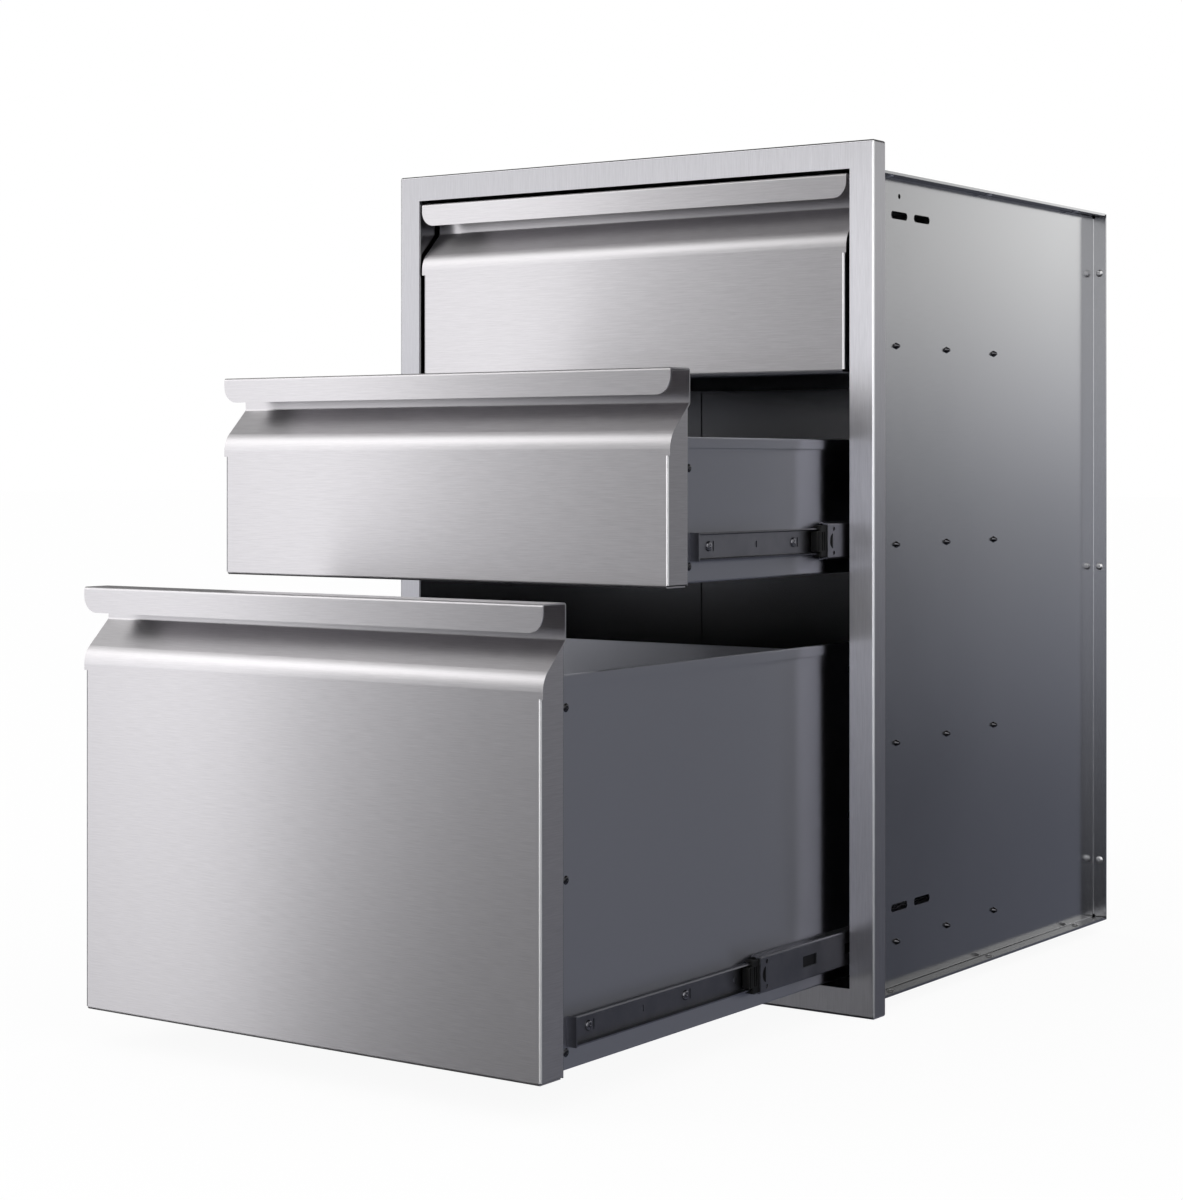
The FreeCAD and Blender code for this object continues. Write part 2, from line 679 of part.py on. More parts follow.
def slide_section(upper, radii, thickness, y_low, y_high):
    """Slide member on the right: the upper half of its section is mirrored to a full channel.

    The path runs along the outer face from the web's corner to the lip, and its first
    radius is the web's corner.
    """
    lower = [(x, -z) for x, z in reversed(upper)]
    bends = list(reversed(radii)) + list(radii)
    return along(lower + upper, bends, thickness, y_low, y_high)


def wall_x(reach):
    """X on the right of a point that lies a distance across the slide from the wall."""
    return SIDE_INNER - reach


def cabinet_member():
    """Outer member: a channel on the wall whose flanges bulge out as ball races."""
    crown = CABINET_MEMBER_HEIGHT / 2
    flat = crown - CABINET_RACE_DEPTH
    upper = [(wall_x(0), flat), (wall_x(OUTER_BALL_LINE - CABINET_RACE_LEAD), flat),
             (wall_x(OUTER_BALL_LINE), crown), (wall_x(CABINET_MEMBER_WIDTH), flat)]
    y_low = FACE_Y + SLIDE_SETBACK
    radii = [SLIDE_BEND, CABINET_RACE_RADIUS, CABINET_RACE_RADIUS]
    member = slide_section(upper, radii, SLIDE_SHEET, y_low, y_low + SLIDE_LENGTH)
    radius = CABINET_SCREW_RADIUS + SCREW_HOLE_CLEARANCE
    line = cabinet_screw_line()
    return member.cut([hole_x(radius, wall_x(SLIDE_SHEET), wall_x(0), y, -SLIDE_SCREW_DROP) for y in line])


def middle_member():
    """Middle member: an inner channel, its flanges waved as races for both rows of balls."""
    crown = MIDDLE_MEMBER_HEIGHT / 2
    upper = [(wall_x(MIDDLE_WEB_OFFSET), crown - MIDDLE_CORNER_DROP),
             (wall_x(OUTER_BALL_LINE), crown - MIDDLE_RACE_DEPTH),
             (wall_x(INNER_BALL_LINE), crown),
             (wall_x(MIDDLE_WEB_OFFSET + MIDDLE_MEMBER_WIDTH), crown - MIDDLE_LIP_DROP)]
    y_low = FACE_Y + MIDDLE_MEMBER_SETBACK
    radii = [SLIDE_BEND, MIDDLE_RACE_RADIUS, MIDDLE_CROWN_RADIUS]
    member = slide_section(upper, radii, SLIDE_SHEET, y_low, y_low + MIDDLE_MEMBER_LENGTH)
    return member.cut(middle_member_windows(y_low))


def middle_member_windows(y_low):
    """Long windows down the web, and the crescent with its two dots at the front."""
    x_low = wall_x(MIDDLE_WEB_OFFSET + SLIDE_SHEET)
    x_high = wall_x(MIDDLE_WEB_OFFSET)
    half = MIDDLE_WINDOW_LENGTH / 2
    rise = MIDDLE_WINDOW_HEIGHT / 2
    mark_y = y_low + CRESCENT_SETBACK
    last = y_low + MIDDLE_MEMBER_LENGTH - MIDDLE_WINDOW_LENGTH
    cutters = []
    y = y_low + MIDDLE_WINDOW_FIRST
    while y < last:
        cutters.append(block(x_low - CUT_MARGIN, x_high + CUT_MARGIN, y - half, y + half, -rise, rise))
        y += MIDDLE_WINDOW_PITCH
    cutters.append(part_round_cutter(CRESCENT_RADIUS, CRESCENT_DEPTH, x_low, x_high, mark_y))
    for z in (-DOT_RISE, DOT_RISE):
        cutters.append(hole_x(DOT_RADIUS, x_low, x_high, mark_y, z))
    return cutters


def part_round_cutter(radius, depth, x_low, x_high, y):
    """Cutter along X: the front part of a circle about a place on the slide's centre line."""
    circle = hole_x(radius, x_low, x_high, y, 0)
    margin = 2 * CUT_MARGIN
    return circle.cut(block(x_low - margin, x_high + margin, y - radius + depth, y + radius, -radius, radius))


def drawer_screw_line():
    first = FRONT_DEPTH + DRAWER_SCREW_FIRST
    return [first + DRAWER_SCREW_PITCH * i for i in range(DRAWER_SCREW_COUNT)]


def drawer_member():
    """Inner member on the tray: its flanges reach back to the wall, its front end is turned out."""
    half = DRAWER_MEMBER_HEIGHT / 2
    outer = SLIDE_THICKNESS
    upper = [(wall_x(outer), half), (wall_x(INNER_BALL_LINE), half - DRAWER_RACE_DEPTH),
             (wall_x(outer - DRAWER_MEMBER_WIDTH), half)]
    y_low = FRONT_DEPTH + DRAWER_MEMBER_SETBACK
    y_high = y_low + SLIDE_LENGTH
    member = slide_section(upper, [SLIDE_BEND, DRAWER_RACE_RADIUS], -SLIDE_SHEET, y_low, y_high)
    tab = block(wall_x(outer), wall_x(outer - DRAWER_TAB_WIDTH), y_low, y_low + SLIDE_SHEET, -half, half)
    return member.fuse(tab).removeSplitter().cut(drawer_member_openings())


def drawer_member_openings():
    """Screw holes, the narrow slot behind each screw and the half-round lances between them."""
    x_low = wall_x(SLIDE_THICKNESS)
    x_high = wall_x(SLIDE_THICKNESS - SLIDE_SHEET)
    slot_half = DRAWER_SLOT_WIDTH / 2
    rise = DRAWER_SLOT_HEIGHT / 2
    cutters = []
    for y in drawer_screw_line():
        slot_y = y + DRAWER_SLOT_OFFSET
        cutters.append(hole_x(DRAWER_SCREW_RADIUS + SCREW_HOLE_CLEARANCE, x_low, x_high, y, 0))
        cutters.append(block(x_low - CUT_MARGIN, x_high + CUT_MARGIN, slot_y - slot_half, slot_y + slot_half,
                             -rise, rise))
        cutters.append(part_round_cutter(LANCE_RADIUS, LANCE_RADIUS, x_low, x_high, y + LANCE_OFFSET))
    return cutters


def drawer_slide_screws():
    """Screws through the drawer member and the tray side, heads in the member."""
    solids = []
    seat = wall_x(SLIDE_THICKNESS - SLIDE_SHEET)
    grip = SLIDE_SHEET + TRAY_SHEET + DRAWER_SCREW_END
    for y in drawer_screw_line():
        one = rivet(DRAWER_SCREW_RADIUS, DRAWER_SCREW_HEAD, DRAWER_SCREW_RISE, Vector(seat, y, 0),
                    Vector(1, 0, 0), grip)
        solids += pair(one)
    return solids


def cabinet_screws():
    """Screws of the slides through the side panels, with a tapered nut on the outside."""
    outward = Vector(1, 0, 0)
    solids = []
    for row, z in enumerate(screw_rows()):
        slide_here = any(abs(z + SLIDE_SCREW_DROP - slide_line(d)) < 1 for d in DRAWERS)
        web = SLIDE_SHEET if slide_here else 0.0
        for y in cabinet_screw_line():
            seat = Vector(wall_x(web), y, z)
            screw = rivet(CABINET_SCREW_RADIUS, CABINET_SCREW_HEAD, CABINET_SCREW_RISE, seat, outward * -1,
                          web + BOX_SHEET)
            nut = Part.makeCone(NUT_RADIUS, NUT_TIP_RADIUS, NUT_RISE, Vector(SIDE_OUTER, y, z), outward)
            solids += pair(screw.fuse(nut).removeSplitter())
    return solids


def cage(web, wing_height, tip, ball_line, ball_radius, length, pockets):
    """Ball cage on the right: a thin channel with a round pocket for each ball, from Y = 0."""
    path = [(wall_x(tip), -wing_height), (wall_x(web), -wing_height), (wall_x(web), wing_height),
            (wall_x(tip), wing_height)]
    body = along(path, [CAGE_BEND, CAGE_BEND], CAGE_SHEET, 0, length)
    pitch = length / pockets
    low = -wing_height - CUT_MARGIN
    cutters = []
    for i in range(pockets):
        start = Vector(wall_x(ball_line), pitch * (i + 0.5), low)
        cutters.append(rod(ball_radius + POCKET_CLEARANCE, start, Vector(0, 0, 1), -2 * low))
    return body.cut(cutters)


def outer_cage():
    web = MIDDLE_WEB_OFFSET - CAGE_GAP - CAGE_SHEET
    inner = MIDDLE_MEMBER_HEIGHT / 2
    outer = CABINET_MEMBER_HEIGHT / 2 - SLIDE_SHEET - CABINET_RACE_DEPTH
    wing = (inner + outer + CAGE_SHEET) / 2
    tip = CABINET_MEMBER_WIDTH - LIP_SETBACK
    return cage(web, wing, tip, OUTER_BALL_LINE, OUTER_BALL_RADIUS, OUTER_CAGE_LENGTH, OUTER_CAGE_POCKETS)


def inner_cage():
    web = MIDDLE_WEB_OFFSET + SLIDE_SHEET + CAGE_GAP
    inner = DRAWER_MEMBER_HEIGHT / 2
    outer = MIDDLE_MEMBER_HEIGHT / 2 - SLIDE_SHEET - MIDDLE_RACE_DEPTH
    wing = (inner + outer + CAGE_SHEET) / 2
    tip = MIDDLE_WEB_OFFSET + MIDDLE_MEMBER_WIDTH - LIP_SETBACK
    return cage(web, wing, tip, INNER_BALL_LINE, INNER_BALL_RADIUS, INNER_CAGE_LENGTH, INNER_CAGE_POCKETS)


def outer_cage_y(drawer):
    """Front end of the outer cages: they run at half the middle members' travel."""
    closed = FACE_Y + MIDDLE_MEMBER_SETBACK + OUTER_TRAVEL / 2 + CAGE_END_GAP
    return closed - MIDDLE_MEMBER_OPEN[drawer] / 2


def inner_cage_y(drawer):
    """Front end of the inner cages: halfway between the middle and the drawer members."""
    inner_open = DRAWER_OPEN[drawer] - MIDDLE_MEMBER_OPEN[drawer]
    closed = FACE_Y + MIDDLE_MEMBER_SETBACK + BUMPER_SEAT + INNER_TRAVEL / 2 + CAGE_END_GAP
    return closed - MIDDLE_MEMBER_OPEN[drawer] - inner_open / 2


def bumper():
    """Black end piece: it holds the middle member's mouth and reaches into the drawer member."""
    y_front = FACE_Y + MIDDLE_MEMBER_SETBACK
    bar_low = MIDDLE_WEB_OFFSET + SLIDE_SHEET
    bar_high = SLIDE_THICKNESS - DRAWER_MEMBER_WIDTH - BUMPER_GAP
    core_tip = SLIDE_THICKNESS - SLIDE_SHEET - DRAWER_SCREW_RISE - BUMPER_GAP
    core_half = DRAWER_MEMBER_HEIGHT / 2 - SLIDE_SHEET - DRAWER_RACE_DEPTH - BUMPER_GAP
    wing_low = DRAWER_MEMBER_HEIGHT / 2 + BUMPER_GAP
    wing_high = MIDDLE_MEMBER_HEIGHT / 2 - SLIDE_SHEET - MIDDLE_RACE_DEPTH
    wing_tip = MIDDLE_WEB_OFFSET + MIDDLE_MEMBER_WIDTH - LIP_SETBACK
    y_rear = y_front + BUMPER_SEAT
    y_wing = y_front - BUMPER_WING_REACH
    bar = block(wall_x(bar_high), wall_x(bar_low), y_wing, y_rear, -wing_high, wing_high)
    core = block(wall_x(core_tip), wall_x(bar_low), y_front - BUMPER_REACH, y_rear, -core_half, core_half)
    wing = block(wall_x(wing_tip), wall_x(bar_low), y_wing, y_rear, wing_low, wing_high)
    low_wing = wing.mirror(Vector(0, 0, 0), Vector(0, 0, 1))
    solid = bar.fuse([core, wing, low_wing]).removeSplitter()
    scoop_centre = Vector(wall_x(SLIDE_THICKNESS), y_front - BUMPER_REACH - BUMPER_SCOOP + BUMPER_BAR, 0)
    return solid.cut(rod(BUMPER_SCOOP, scoop_centre, Vector(1, 0, 0), SLIDE_THICKNESS))


def moved(shape, y, z):
    copy = shape.copy()
    copy.translate(Vector(0, y, z))
    return copy


def export(name, shapes):
    shape = shapes if not isinstance(shapes, list) else Part.makeCompound(shapes)
    shape.exportStep(os.path.join("parts", name + ".step"))


def export_cabinet():
    export("face_frame", face_frame())
    right = side_panel()
    export("right_side_panel", right)
    export("left_side_panel", mirrored(right))
    export("top_panel", top_panel())
    export("bottom_panel", bottom_panel())
    export("back_panel", back_panel())
    export("box_rivets", box_rivets())
    export("slide_cabinet_screws", cabinet_screws())


def export_drawer(drawer):
    """The front and the tray are modelled from their own face at Y = 0, then put in place."""
    place = FACE_Y - DRAWER_OPEN[drawer]
    pieces = {
        "front": [front_skin(drawer)],
        "liner": [front_liner(drawer)],
        "tray": [tray(drawer)],
        "tray_front": [tray_front(drawer)],
        "tray_back": [tray_back(drawer)],
        "tray_rivets": tray_rivets(drawer),
        "front_screws": front_screws(drawer),
    }
    for name, shapes in pieces.items():
        solids = [moved(s, place, 0) for s in shapes]
        export(drawer + "_drawer_" + name, solids if len(solids) > 1 else solids[0])
    level = slide_line(drawer)
    export(drawer + "_drawer_slide_screws", [moved(s, place, level) for s in drawer_slide_screws()])
    export_slides(drawer, level, place)


def export_slides(drawer, level, place):
    members = {
        "cabinet_member": moved(cabinet_member(), 0, level),
        "middle_member": moved(middle_member(), -MIDDLE_MEMBER_OPEN[drawer], level),
        "drawer_member": moved(drawer_member(), place, level),
    }
    for name, shape in members.items():
        for side in SIDES:
            export(drawer + "_" + side + "_slide_" + name, for_side(shape, side))
    export(drawer + "_outer_ball_cages", pair(moved(outer_cage(), outer_cage_y(drawer), level)))
    export(drawer + "_inner_ball_cages", pair(moved(inner_cage(), inner_cage_y(drawer), level)))
    export(drawer + "_slide_bumpers", pair(moved(bumper(), -MIDDLE_MEMBER_OPEN[drawer], level)))


os.makedirs("parts", exist_ok=True)
export_cabinet()
for drawer_name in DRAWERS:
    export_drawer(drawer_name)
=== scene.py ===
# %% [markdown]
# # A stainless drawer unit for an outdoor kitchen
#
# The real object is folded from sheet steel: a face frame that covers the edge of the cut-out,
# a riveted box behind it, and three drawers that run on ball bearing slides. Its solids come
# from a CAD file, at their true size and place, so nothing here has to be scaled or fitted.
# This lesson lights the unit, finishes every piece and adds the small parts that catch the eye.

# %% Load the unit
import json
import math
import bpy
import bmesh
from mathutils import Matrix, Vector

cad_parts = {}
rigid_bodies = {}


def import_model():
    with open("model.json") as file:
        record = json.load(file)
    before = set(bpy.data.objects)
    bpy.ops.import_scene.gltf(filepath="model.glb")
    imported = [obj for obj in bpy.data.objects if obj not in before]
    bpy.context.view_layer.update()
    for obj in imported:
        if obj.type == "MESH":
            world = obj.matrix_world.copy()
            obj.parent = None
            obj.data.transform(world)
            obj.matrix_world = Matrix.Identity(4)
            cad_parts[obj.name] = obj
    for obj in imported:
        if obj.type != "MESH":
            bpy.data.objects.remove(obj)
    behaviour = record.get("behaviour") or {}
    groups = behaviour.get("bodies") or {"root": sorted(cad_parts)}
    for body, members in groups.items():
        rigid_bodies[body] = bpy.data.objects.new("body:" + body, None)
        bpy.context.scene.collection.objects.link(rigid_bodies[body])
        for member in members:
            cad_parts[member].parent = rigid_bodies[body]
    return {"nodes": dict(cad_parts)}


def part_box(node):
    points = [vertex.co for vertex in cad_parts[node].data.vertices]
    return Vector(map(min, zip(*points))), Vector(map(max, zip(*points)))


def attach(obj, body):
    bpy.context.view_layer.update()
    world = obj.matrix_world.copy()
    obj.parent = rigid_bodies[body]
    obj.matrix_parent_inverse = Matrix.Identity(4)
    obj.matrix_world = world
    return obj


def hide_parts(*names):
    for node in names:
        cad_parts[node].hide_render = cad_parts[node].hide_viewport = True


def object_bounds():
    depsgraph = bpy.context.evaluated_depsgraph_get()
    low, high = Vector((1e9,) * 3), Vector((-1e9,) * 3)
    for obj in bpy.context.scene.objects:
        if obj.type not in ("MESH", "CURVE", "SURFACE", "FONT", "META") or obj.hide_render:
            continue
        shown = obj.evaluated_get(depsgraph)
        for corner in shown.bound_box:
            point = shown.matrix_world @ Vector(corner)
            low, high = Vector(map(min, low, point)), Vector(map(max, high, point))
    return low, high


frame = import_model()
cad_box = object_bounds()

DRAWERS = ("top", "middle", "bottom")
SIDES = {"left": -1, "right": 1}
MM = 0.001
scene = bpy.context.scene
bpy.ops.object.select_all(action="DESELECT")

# %% [markdown]
# ## The camera
#
# A product photograph keeps its uprights upright: the camera looks level and the lens is moved
# down a little instead of tilting it. In Blender that is a camera turned to the horizon with a
# small vertical shift. Tilting would be the other way, but then the box would narrow downwards.

# %% Camera
SENSOR_WIDTH = 36
IMAGE_HEIGHT = 1200
CAMERA_PLACE = (1.1479, -1.7000, 0.4054)
CAMERA_TURN = math.radians(34.98)
FOCAL_PIXELS = 2547.2
HORIZON_ROW = 465.4

bpy.ops.object.camera_add(location=CAMERA_PLACE, rotation=(math.radians(90), 0, CAMERA_TURN))
camera = bpy.context.object
camera.data.sensor_width = SENSOR_WIDTH
camera.data.lens = FOCAL_PIXELS * SENSOR_WIDTH / IMAGE_HEIGHT
camera.data.shift_y = (HORIZON_ROW - IMAGE_HEIGHT / 2) / IMAGE_HEIGHT
camera.data.clip_start = 0.05
camera.data.clip_end = 100
scene.camera = camera
print("lens", round(camera.data.lens, 2), "mm, shift", round(camera.data.shift_y, 4))

# %% [markdown]
# ## Words for nodes
#
# Light and steel are both made of node trees, and a tree is easier to read when its sums look
# like sums. Each helper adds one node, fills its sockets with numbers or links, and hands back
# the socket where the result comes out. Wiring by hand in the node editor gives the same trees.

# %% Node helpers
MIX_SOCKETS = {"FLOAT": (2, 3, 0), "VECTOR": (4, 5, 1), "RGBA": (6, 7, 2)}


def put(tree, socket, value):
    """Links another socket to this one, or sets it to a plain value."""
    if isinstance(value, bpy.types.NodeSocket):
        tree.links.new(value, socket)
    else:
        socket.default_value = value


def number(tree, operation, first, second=0.0, third=0.0):
    """A sum on numbers or sockets."""
    node = tree.nodes.new("ShaderNodeMath")
    node.operation = operation
    for socket, value in zip(node.inputs, (first, second, third)):
        put(tree, socket, value)
    return node.outputs[0]


def mixed(tree, kind, share, first, second, blend="MIX"):
    """The first value where the share is nought, the second where it is one."""
    node = tree.nodes.new("ShaderNodeMix")
    node.data_type = kind
    node.blend_type = blend
    low, high, result = MIX_SOCKETS[kind]
    put(tree, node.inputs[0], share)
    put(tree, node.inputs[low], first)
    put(tree, node.inputs[high], second)
    return node.outputs[result]


def curve(tree, angle, span, places, name):
    """A brightness for every angle, drawn straight from place to place. Angles are in degrees."""
    ramp = tree.nodes.new("ShaderNodeValToRGB")
    ramp.name = name
    steps = ramp.color_ramp.elements
    while len(steps) < len(places):
        steps.new(0.5)
    for step, (place, grey) in zip(steps, places):
        step.position = place / span + 0.5
        step.color = (grey, grey, grey, 1)
    share = number(tree, "MULTIPLY_ADD", angle, math.degrees(1) / span, 0.5)
    tree.links.new(share, ramp.inputs[0])
    return ramp.outputs[0]


def whiteness(tree, to_camera, to_steel, to_matt=0.0):
    """The share of plain white that a ray finds, by the kind of thing that the ray left."""
    rays = tree.nodes.new("ShaderNodeLightPath").outputs
    share = number(tree, "ADD", rays["Is Camera Ray"], rays["Is Transmission Ray"])
    share = number(tree, "MULTIPLY", share, to_camera)
    share = number(tree, "MULTIPLY_ADD", rays["Is Diffuse Ray"], to_matt, share)
    share = number(tree, "MULTIPLY_ADD", rays["Is Glossy Ray"], to_steel, share)
    share.node.use_clamp = True
    return share


def blended(tree, share, first, second, output):
    """Ends a tree in a mix of two shaders. The output's first socket takes the surface."""
    both = tree.nodes.new("ShaderNodeMixShader")
    for socket, value in zip(both.inputs, (share, first, second)):
        tree.links.new(value, socket)
    tree.links.new(both.outputs[0], tree.nodes.new(output).inputs["Surface"])


print("kinds of mix:", sorted(MIX_SOCKETS))

# %% [markdown]
# ## The room around it
#
# Brushed steel has hardly any colour of its own. It shows the room, so the room does the work
# here: bright strips at the horizon and overhead, and a dark floor and ceiling, as in a studio
# with lamps, cards and a sweep. The camera itself sees plain white. A sky picture would be the
# other way, but four curves, two for height and two for direction, are easier to steer.

# %% World
FRONT_HEIGHTS = ((-7, 0.0), (-1, 0.62), (6, 0.85), (16, 0.12), (32, 1.75), (42, 1.60), (50, 0.15),
                 (75, 0.05))
REAR_HEIGHTS = ((-40, 0.27), (-14, 0.09), (-7, 0.09), (-1, 0.25), (6, 0.95), (16, 0.02), (32, 0.13),
                (52, 0.02), (75, 0.0))
FRONT_ROUND = ((-150, 0.94), (-122, 1.25), (-98, 0.25), (-35, 0.0), (75, 0.0), (145, 1.5))
REAR_ROUND = ((-90, 0.0), (-35, 0.27), (10, 0.29), (24, 2.0), (29, 0.40), (35, 0.90), (75, 0.58),
              (145, 0.0))
COOL_HEIGHTS = ((-8, 0.0), (4, 1.0))
LOW_COLOUR = (0.90, 0.95, 1.18, 1)
HIGH_COLOUR = (1.0, 1.0, 0.985, 1)
SWEEP_IN_STEEL = 0.01
DAYLIGHT = 0.9

scene.view_settings.view_transform = "Standard"
world = bpy.data.worlds.new("studio")
scene.world = world
world.use_nodes = True
world.cycles.sampling_method = "NONE"
tree = world.node_tree
tree.nodes.clear()
split = tree.nodes.new("ShaderNodeSeparateXYZ")
tree.links.new(tree.nodes.new("ShaderNodeTexCoord").outputs["Generated"], split.inputs[0])
height = number(tree, "ARCSINE", split.outputs["Z"])
heading = number(tree, "ARCTAN2", split.outputs["X"], split.outputs["Y"])
in_front = number(tree, "MULTIPLY", curve(tree, height, 180, FRONT_HEIGHTS, "front height"),
                  curve(tree, heading, 360, FRONT_ROUND, "front round"))
behind = number(tree, "MULTIPLY", curve(tree, height, 180, REAR_HEIGHTS, "rear height"),
                curve(tree, heading, 360, REAR_ROUND, "rear round"))
room = tree.nodes.new("ShaderNodeBackground")
cool = curve(tree, height, 180, COOL_HEIGHTS, "cool near the floor")
put(tree, room.inputs["Color"], mixed(tree, "RGBA", cool, LOW_COLOUR, HIGH_COLOUR))
put(tree, room.inputs["Strength"], number(tree, "ADD", in_front, behind))
white = tree.nodes.new("ShaderNodeBackground")
white.inputs["Color"].default_value = (1, 1, 1, 1)
share = whiteness(tree, 1.0, SWEEP_IN_STEEL, DAYLIGHT)
blended(tree, share, room.outputs[0], white.outputs[0], "ShaderNodeOutputWorld")
print("world nodes:", len(tree.nodes))

# %% [markdown]
# ## The floor
#
# A wide plain sheet stands just under the frame's lower edge. The camera sees it almost white,
# with only a breath of shadow, while steel sees the darker floor that gives the box its depth.

# %% Floor
FLOOR_SIZE = 60
FLOOR_GAP = 0.2 * MM
FLOOR_WHITE = 0.93
floor_height = cad_box[0][2] - FLOOR_GAP
bpy.ops.object.select_all(action="DESELECT")
bpy.ops.mesh.primitive_plane_add(size=FLOOR_SIZE, location=(0, 0, floor_height))
floor = bpy.context.object
floor.name = "floor"
floor.visible_glossy = False
floor.visible_shadow = False
paper = bpy.data.materials.new("floor_paper")
paper.use_nodes = True
tree = paper.node_tree
tree.nodes.clear()
matt = tree.nodes.new("ShaderNodeBsdfDiffuse")
matt.inputs["Color"].default_value = (0.95, 0.95, 0.95, 1)
glow = tree.nodes.new("ShaderNodeEmission")
glow.inputs["Color"].default_value = (1, 1, 1, 1)
glow.inputs["Strength"].default_value = 1.0
share = whiteness(tree, FLOOR_WHITE, SWEEP_IN_STEEL)
blended(tree, share, matt.outputs[0], glow.outputs[0], "ShaderNodeOutputMaterial")
floor.data.materials.append(paper)
print("floor at", round(floor_height, 4))

# %% [markdown]
# ## The lamps
#
# The key is a tall soft box on the left in front, with a weak strip beside it, so that the fronts
# fade from light to dark. A low soft box on the right lights the frame's edge and the sides from
# the front. Point lamps would be the other way, but they leave hard spots on brushed steel.

# %% Lamps
LAMP_PLANE = -1.70
IN_FRONT = (
    # name, left, right, low, high, brightness
    ("key_left", -1.9, -1.5, -0.7, 1.4, 0.98),
    ("key_right", -1.5, -1.2, -0.7, 0.5, 1.16),
    ("key_right_high", -1.5, -1.2, 0.5, 2.3, 1.00),
    ("key_top", -2.6, -1.5, 1.4, 2.3, 0.62),
    ("fade", -1.2, -0.9, -0.3, 0.9, 0.25),
    ("fill_left", -0.5, -0.1, 0.5, 0.9, 0.78),
    ("fill_low", -0.1, 0.6, 0.1, 0.5, 1.65),
    ("fill_high", -0.1, 0.6, 0.5, 0.9, 1.97),
    ("fill_top", -0.1, 0.6, 0.9, 1.4, 0.32),
)
SIDE_LAMP = {"x": 2.3, "y": -1.2, "half_width": 0.45, "low": -0.5, "high": 1.5, "brightness": 0.55}


def soft_box(name, low, high, facing, brightness):
    """A flat lamp between two corners. Its brightness is what steel would mirror, one is white."""
    middle = (Vector(low) + Vector(high)) / 2
    size = [b - a for a, b in zip(low, high) if b > a]
    bpy.ops.object.select_all(action="DESELECT")
    bpy.ops.object.light_add(type="AREA", location=middle)
    lamp = bpy.context.object
    lamp.name = name
    lamp.data.shape = "RECTANGLE"
    lamp.data.size, lamp.data.size_y = size
    lamp.data.energy = brightness * math.pi * size[0] * size[1]
    lamp.rotation_euler = Vector(facing).to_track_quat("-Z", "Y").to_euler()
    lamp.visible_camera = False


for name, left, right, low, high, brightness in IN_FRONT:
    soft_box(name, (left, LAMP_PLANE, low), (right, LAMP_PLANE, high), (0, 1, 0), brightness)
soft_box("side", (SIDE_LAMP["x"] - SIDE_LAMP["half_width"], SIDE_LAMP["y"], SIDE_LAMP["low"]),
         (SIDE_LAMP["x"] + SIDE_LAMP["half_width"], SIDE_LAMP["y"], SIDE_LAMP["high"]),
         (-SIDE_LAMP["x"], -SIDE_LAMP["y"], 0), SIDE_LAMP["brightness"])

# %% [markdown]
# ## Brushed steel
#
# A belt leaves fine parallel scratches in the sheet. They stretch every highlight across the
# grain. Here a noise pattern is pulled out along the grain until it becomes hairlines, which
# vary the colour and the roughness and lift a very small bump, and the shader's anisotropy
# does the rest. A photographed texture would be the other way, but it would show its edges.

# %% Steel helpers
def new_finish(name):
    """An empty material with a principled shader, and its tree."""
    material = bpy.data.materials.new(name)
    material.use_nodes = True
    return material, material.node_tree, material.node_tree.nodes["Principled BSDF"]


def place_on(tree):
    """The point's own place on the unit, in metres."""
    return tree.nodes.new("ShaderNodeTexCoord").outputs["Object"]


def normal_of(tree):
    """The way the surface looks."""
    return tree.nodes.new("ShaderNodeNewGeometry").outputs["Normal"]


def along(tree, vector, axis):
    """One part of a vector."""
    parts = tree.nodes.new("ShaderNodeSeparateXYZ")
    tree.links.new(vector, parts.inputs[0])
    return parts.outputs[axis]


def combined(tree, operation, first, second):
    """A sum on two vectors, as the node itself, because its result may be a vector or a number."""
    node = tree.nodes.new("ShaderNodeVectorMath")
    node.operation = operation
    put(tree, node.inputs[0], first)
    put(tree, node.inputs[1], second)
    return node


def noise(tree, frequency, detail, rough):
    """Noise with its own number of cells per metre along each axis."""
    mapping = tree.nodes.new("ShaderNodeMapping")
    mapping.inputs["Scale"].default_value = frequency
    tree.links.new(place_on(tree), mapping.inputs["Vector"])
    texture = tree.nodes.new("ShaderNodeTexNoise")
    texture.inputs["Scale"].default_value = 1
    texture.inputs["Detail"].default_value = detail
    texture.inputs["Roughness"].default_value = rough
    tree.links.new(mapping.outputs[0], texture.inputs["Vector"])
    return texture.outputs["Fac"]


def tint(tree, value, dark, light):
    """A colour between two, chosen by a number."""
    return mixed(tree, "RGBA", value, (*dark, 1), (*light, 1))


def with_painted_shade(tree, colour, share, shade):
    """A colour darkened by painted shade, down to a shade of itself, where the share is one."""
    return mixed(tree, "RGBA", share, colour, (shade, shade, shade, 1), "MULTIPLY")


def bump(tree, shader, value, strength, distance):
    """Small relief from a number."""
    node = tree.nodes.new("ShaderNodeBump")
    node.inputs["Strength"].default_value = strength
    node.inputs["Distance"].default_value = distance
    tree.links.new(value, node.inputs["Height"])
    tree.links.new(node.outputs[0], shader.inputs["Normal"])


def normal_along(tree, axis):
    """How squarely a face looks along one axis, from nought to one."""
    return number(tree, "ABSOLUTE", along(tree, normal_of(tree), axis))


def across(tree, axis):
    """The direction in the sheet that lies across a grain along the given axis."""
    way = [1.0 if letter == axis else 0.0 for letter in "XYZ"]
    return combined(tree, "CROSS_PRODUCT", normal_of(tree), way).outputs[0]


# %% Brushed finish
HAIR_LONG = 55
HAIR_FINE = 1800
HAIR_ROUGHNESS = 0.12
HAIR_BUMP = 0.12
HAIR_DEPTH = 0.04 * MM
FOLDED_FROM = 0.7
# Painted highlight: the near-white colour that the bends are mixed towards.
PAINTED_BEND_HIGHLIGHT = (0.96, 0.96, 0.97, 1)
# Painted shade: how far the inner faces of the box and the trays are darkened.
PAINTED_INNER_SHADE = 0.62
INNER_FROM = -0.05


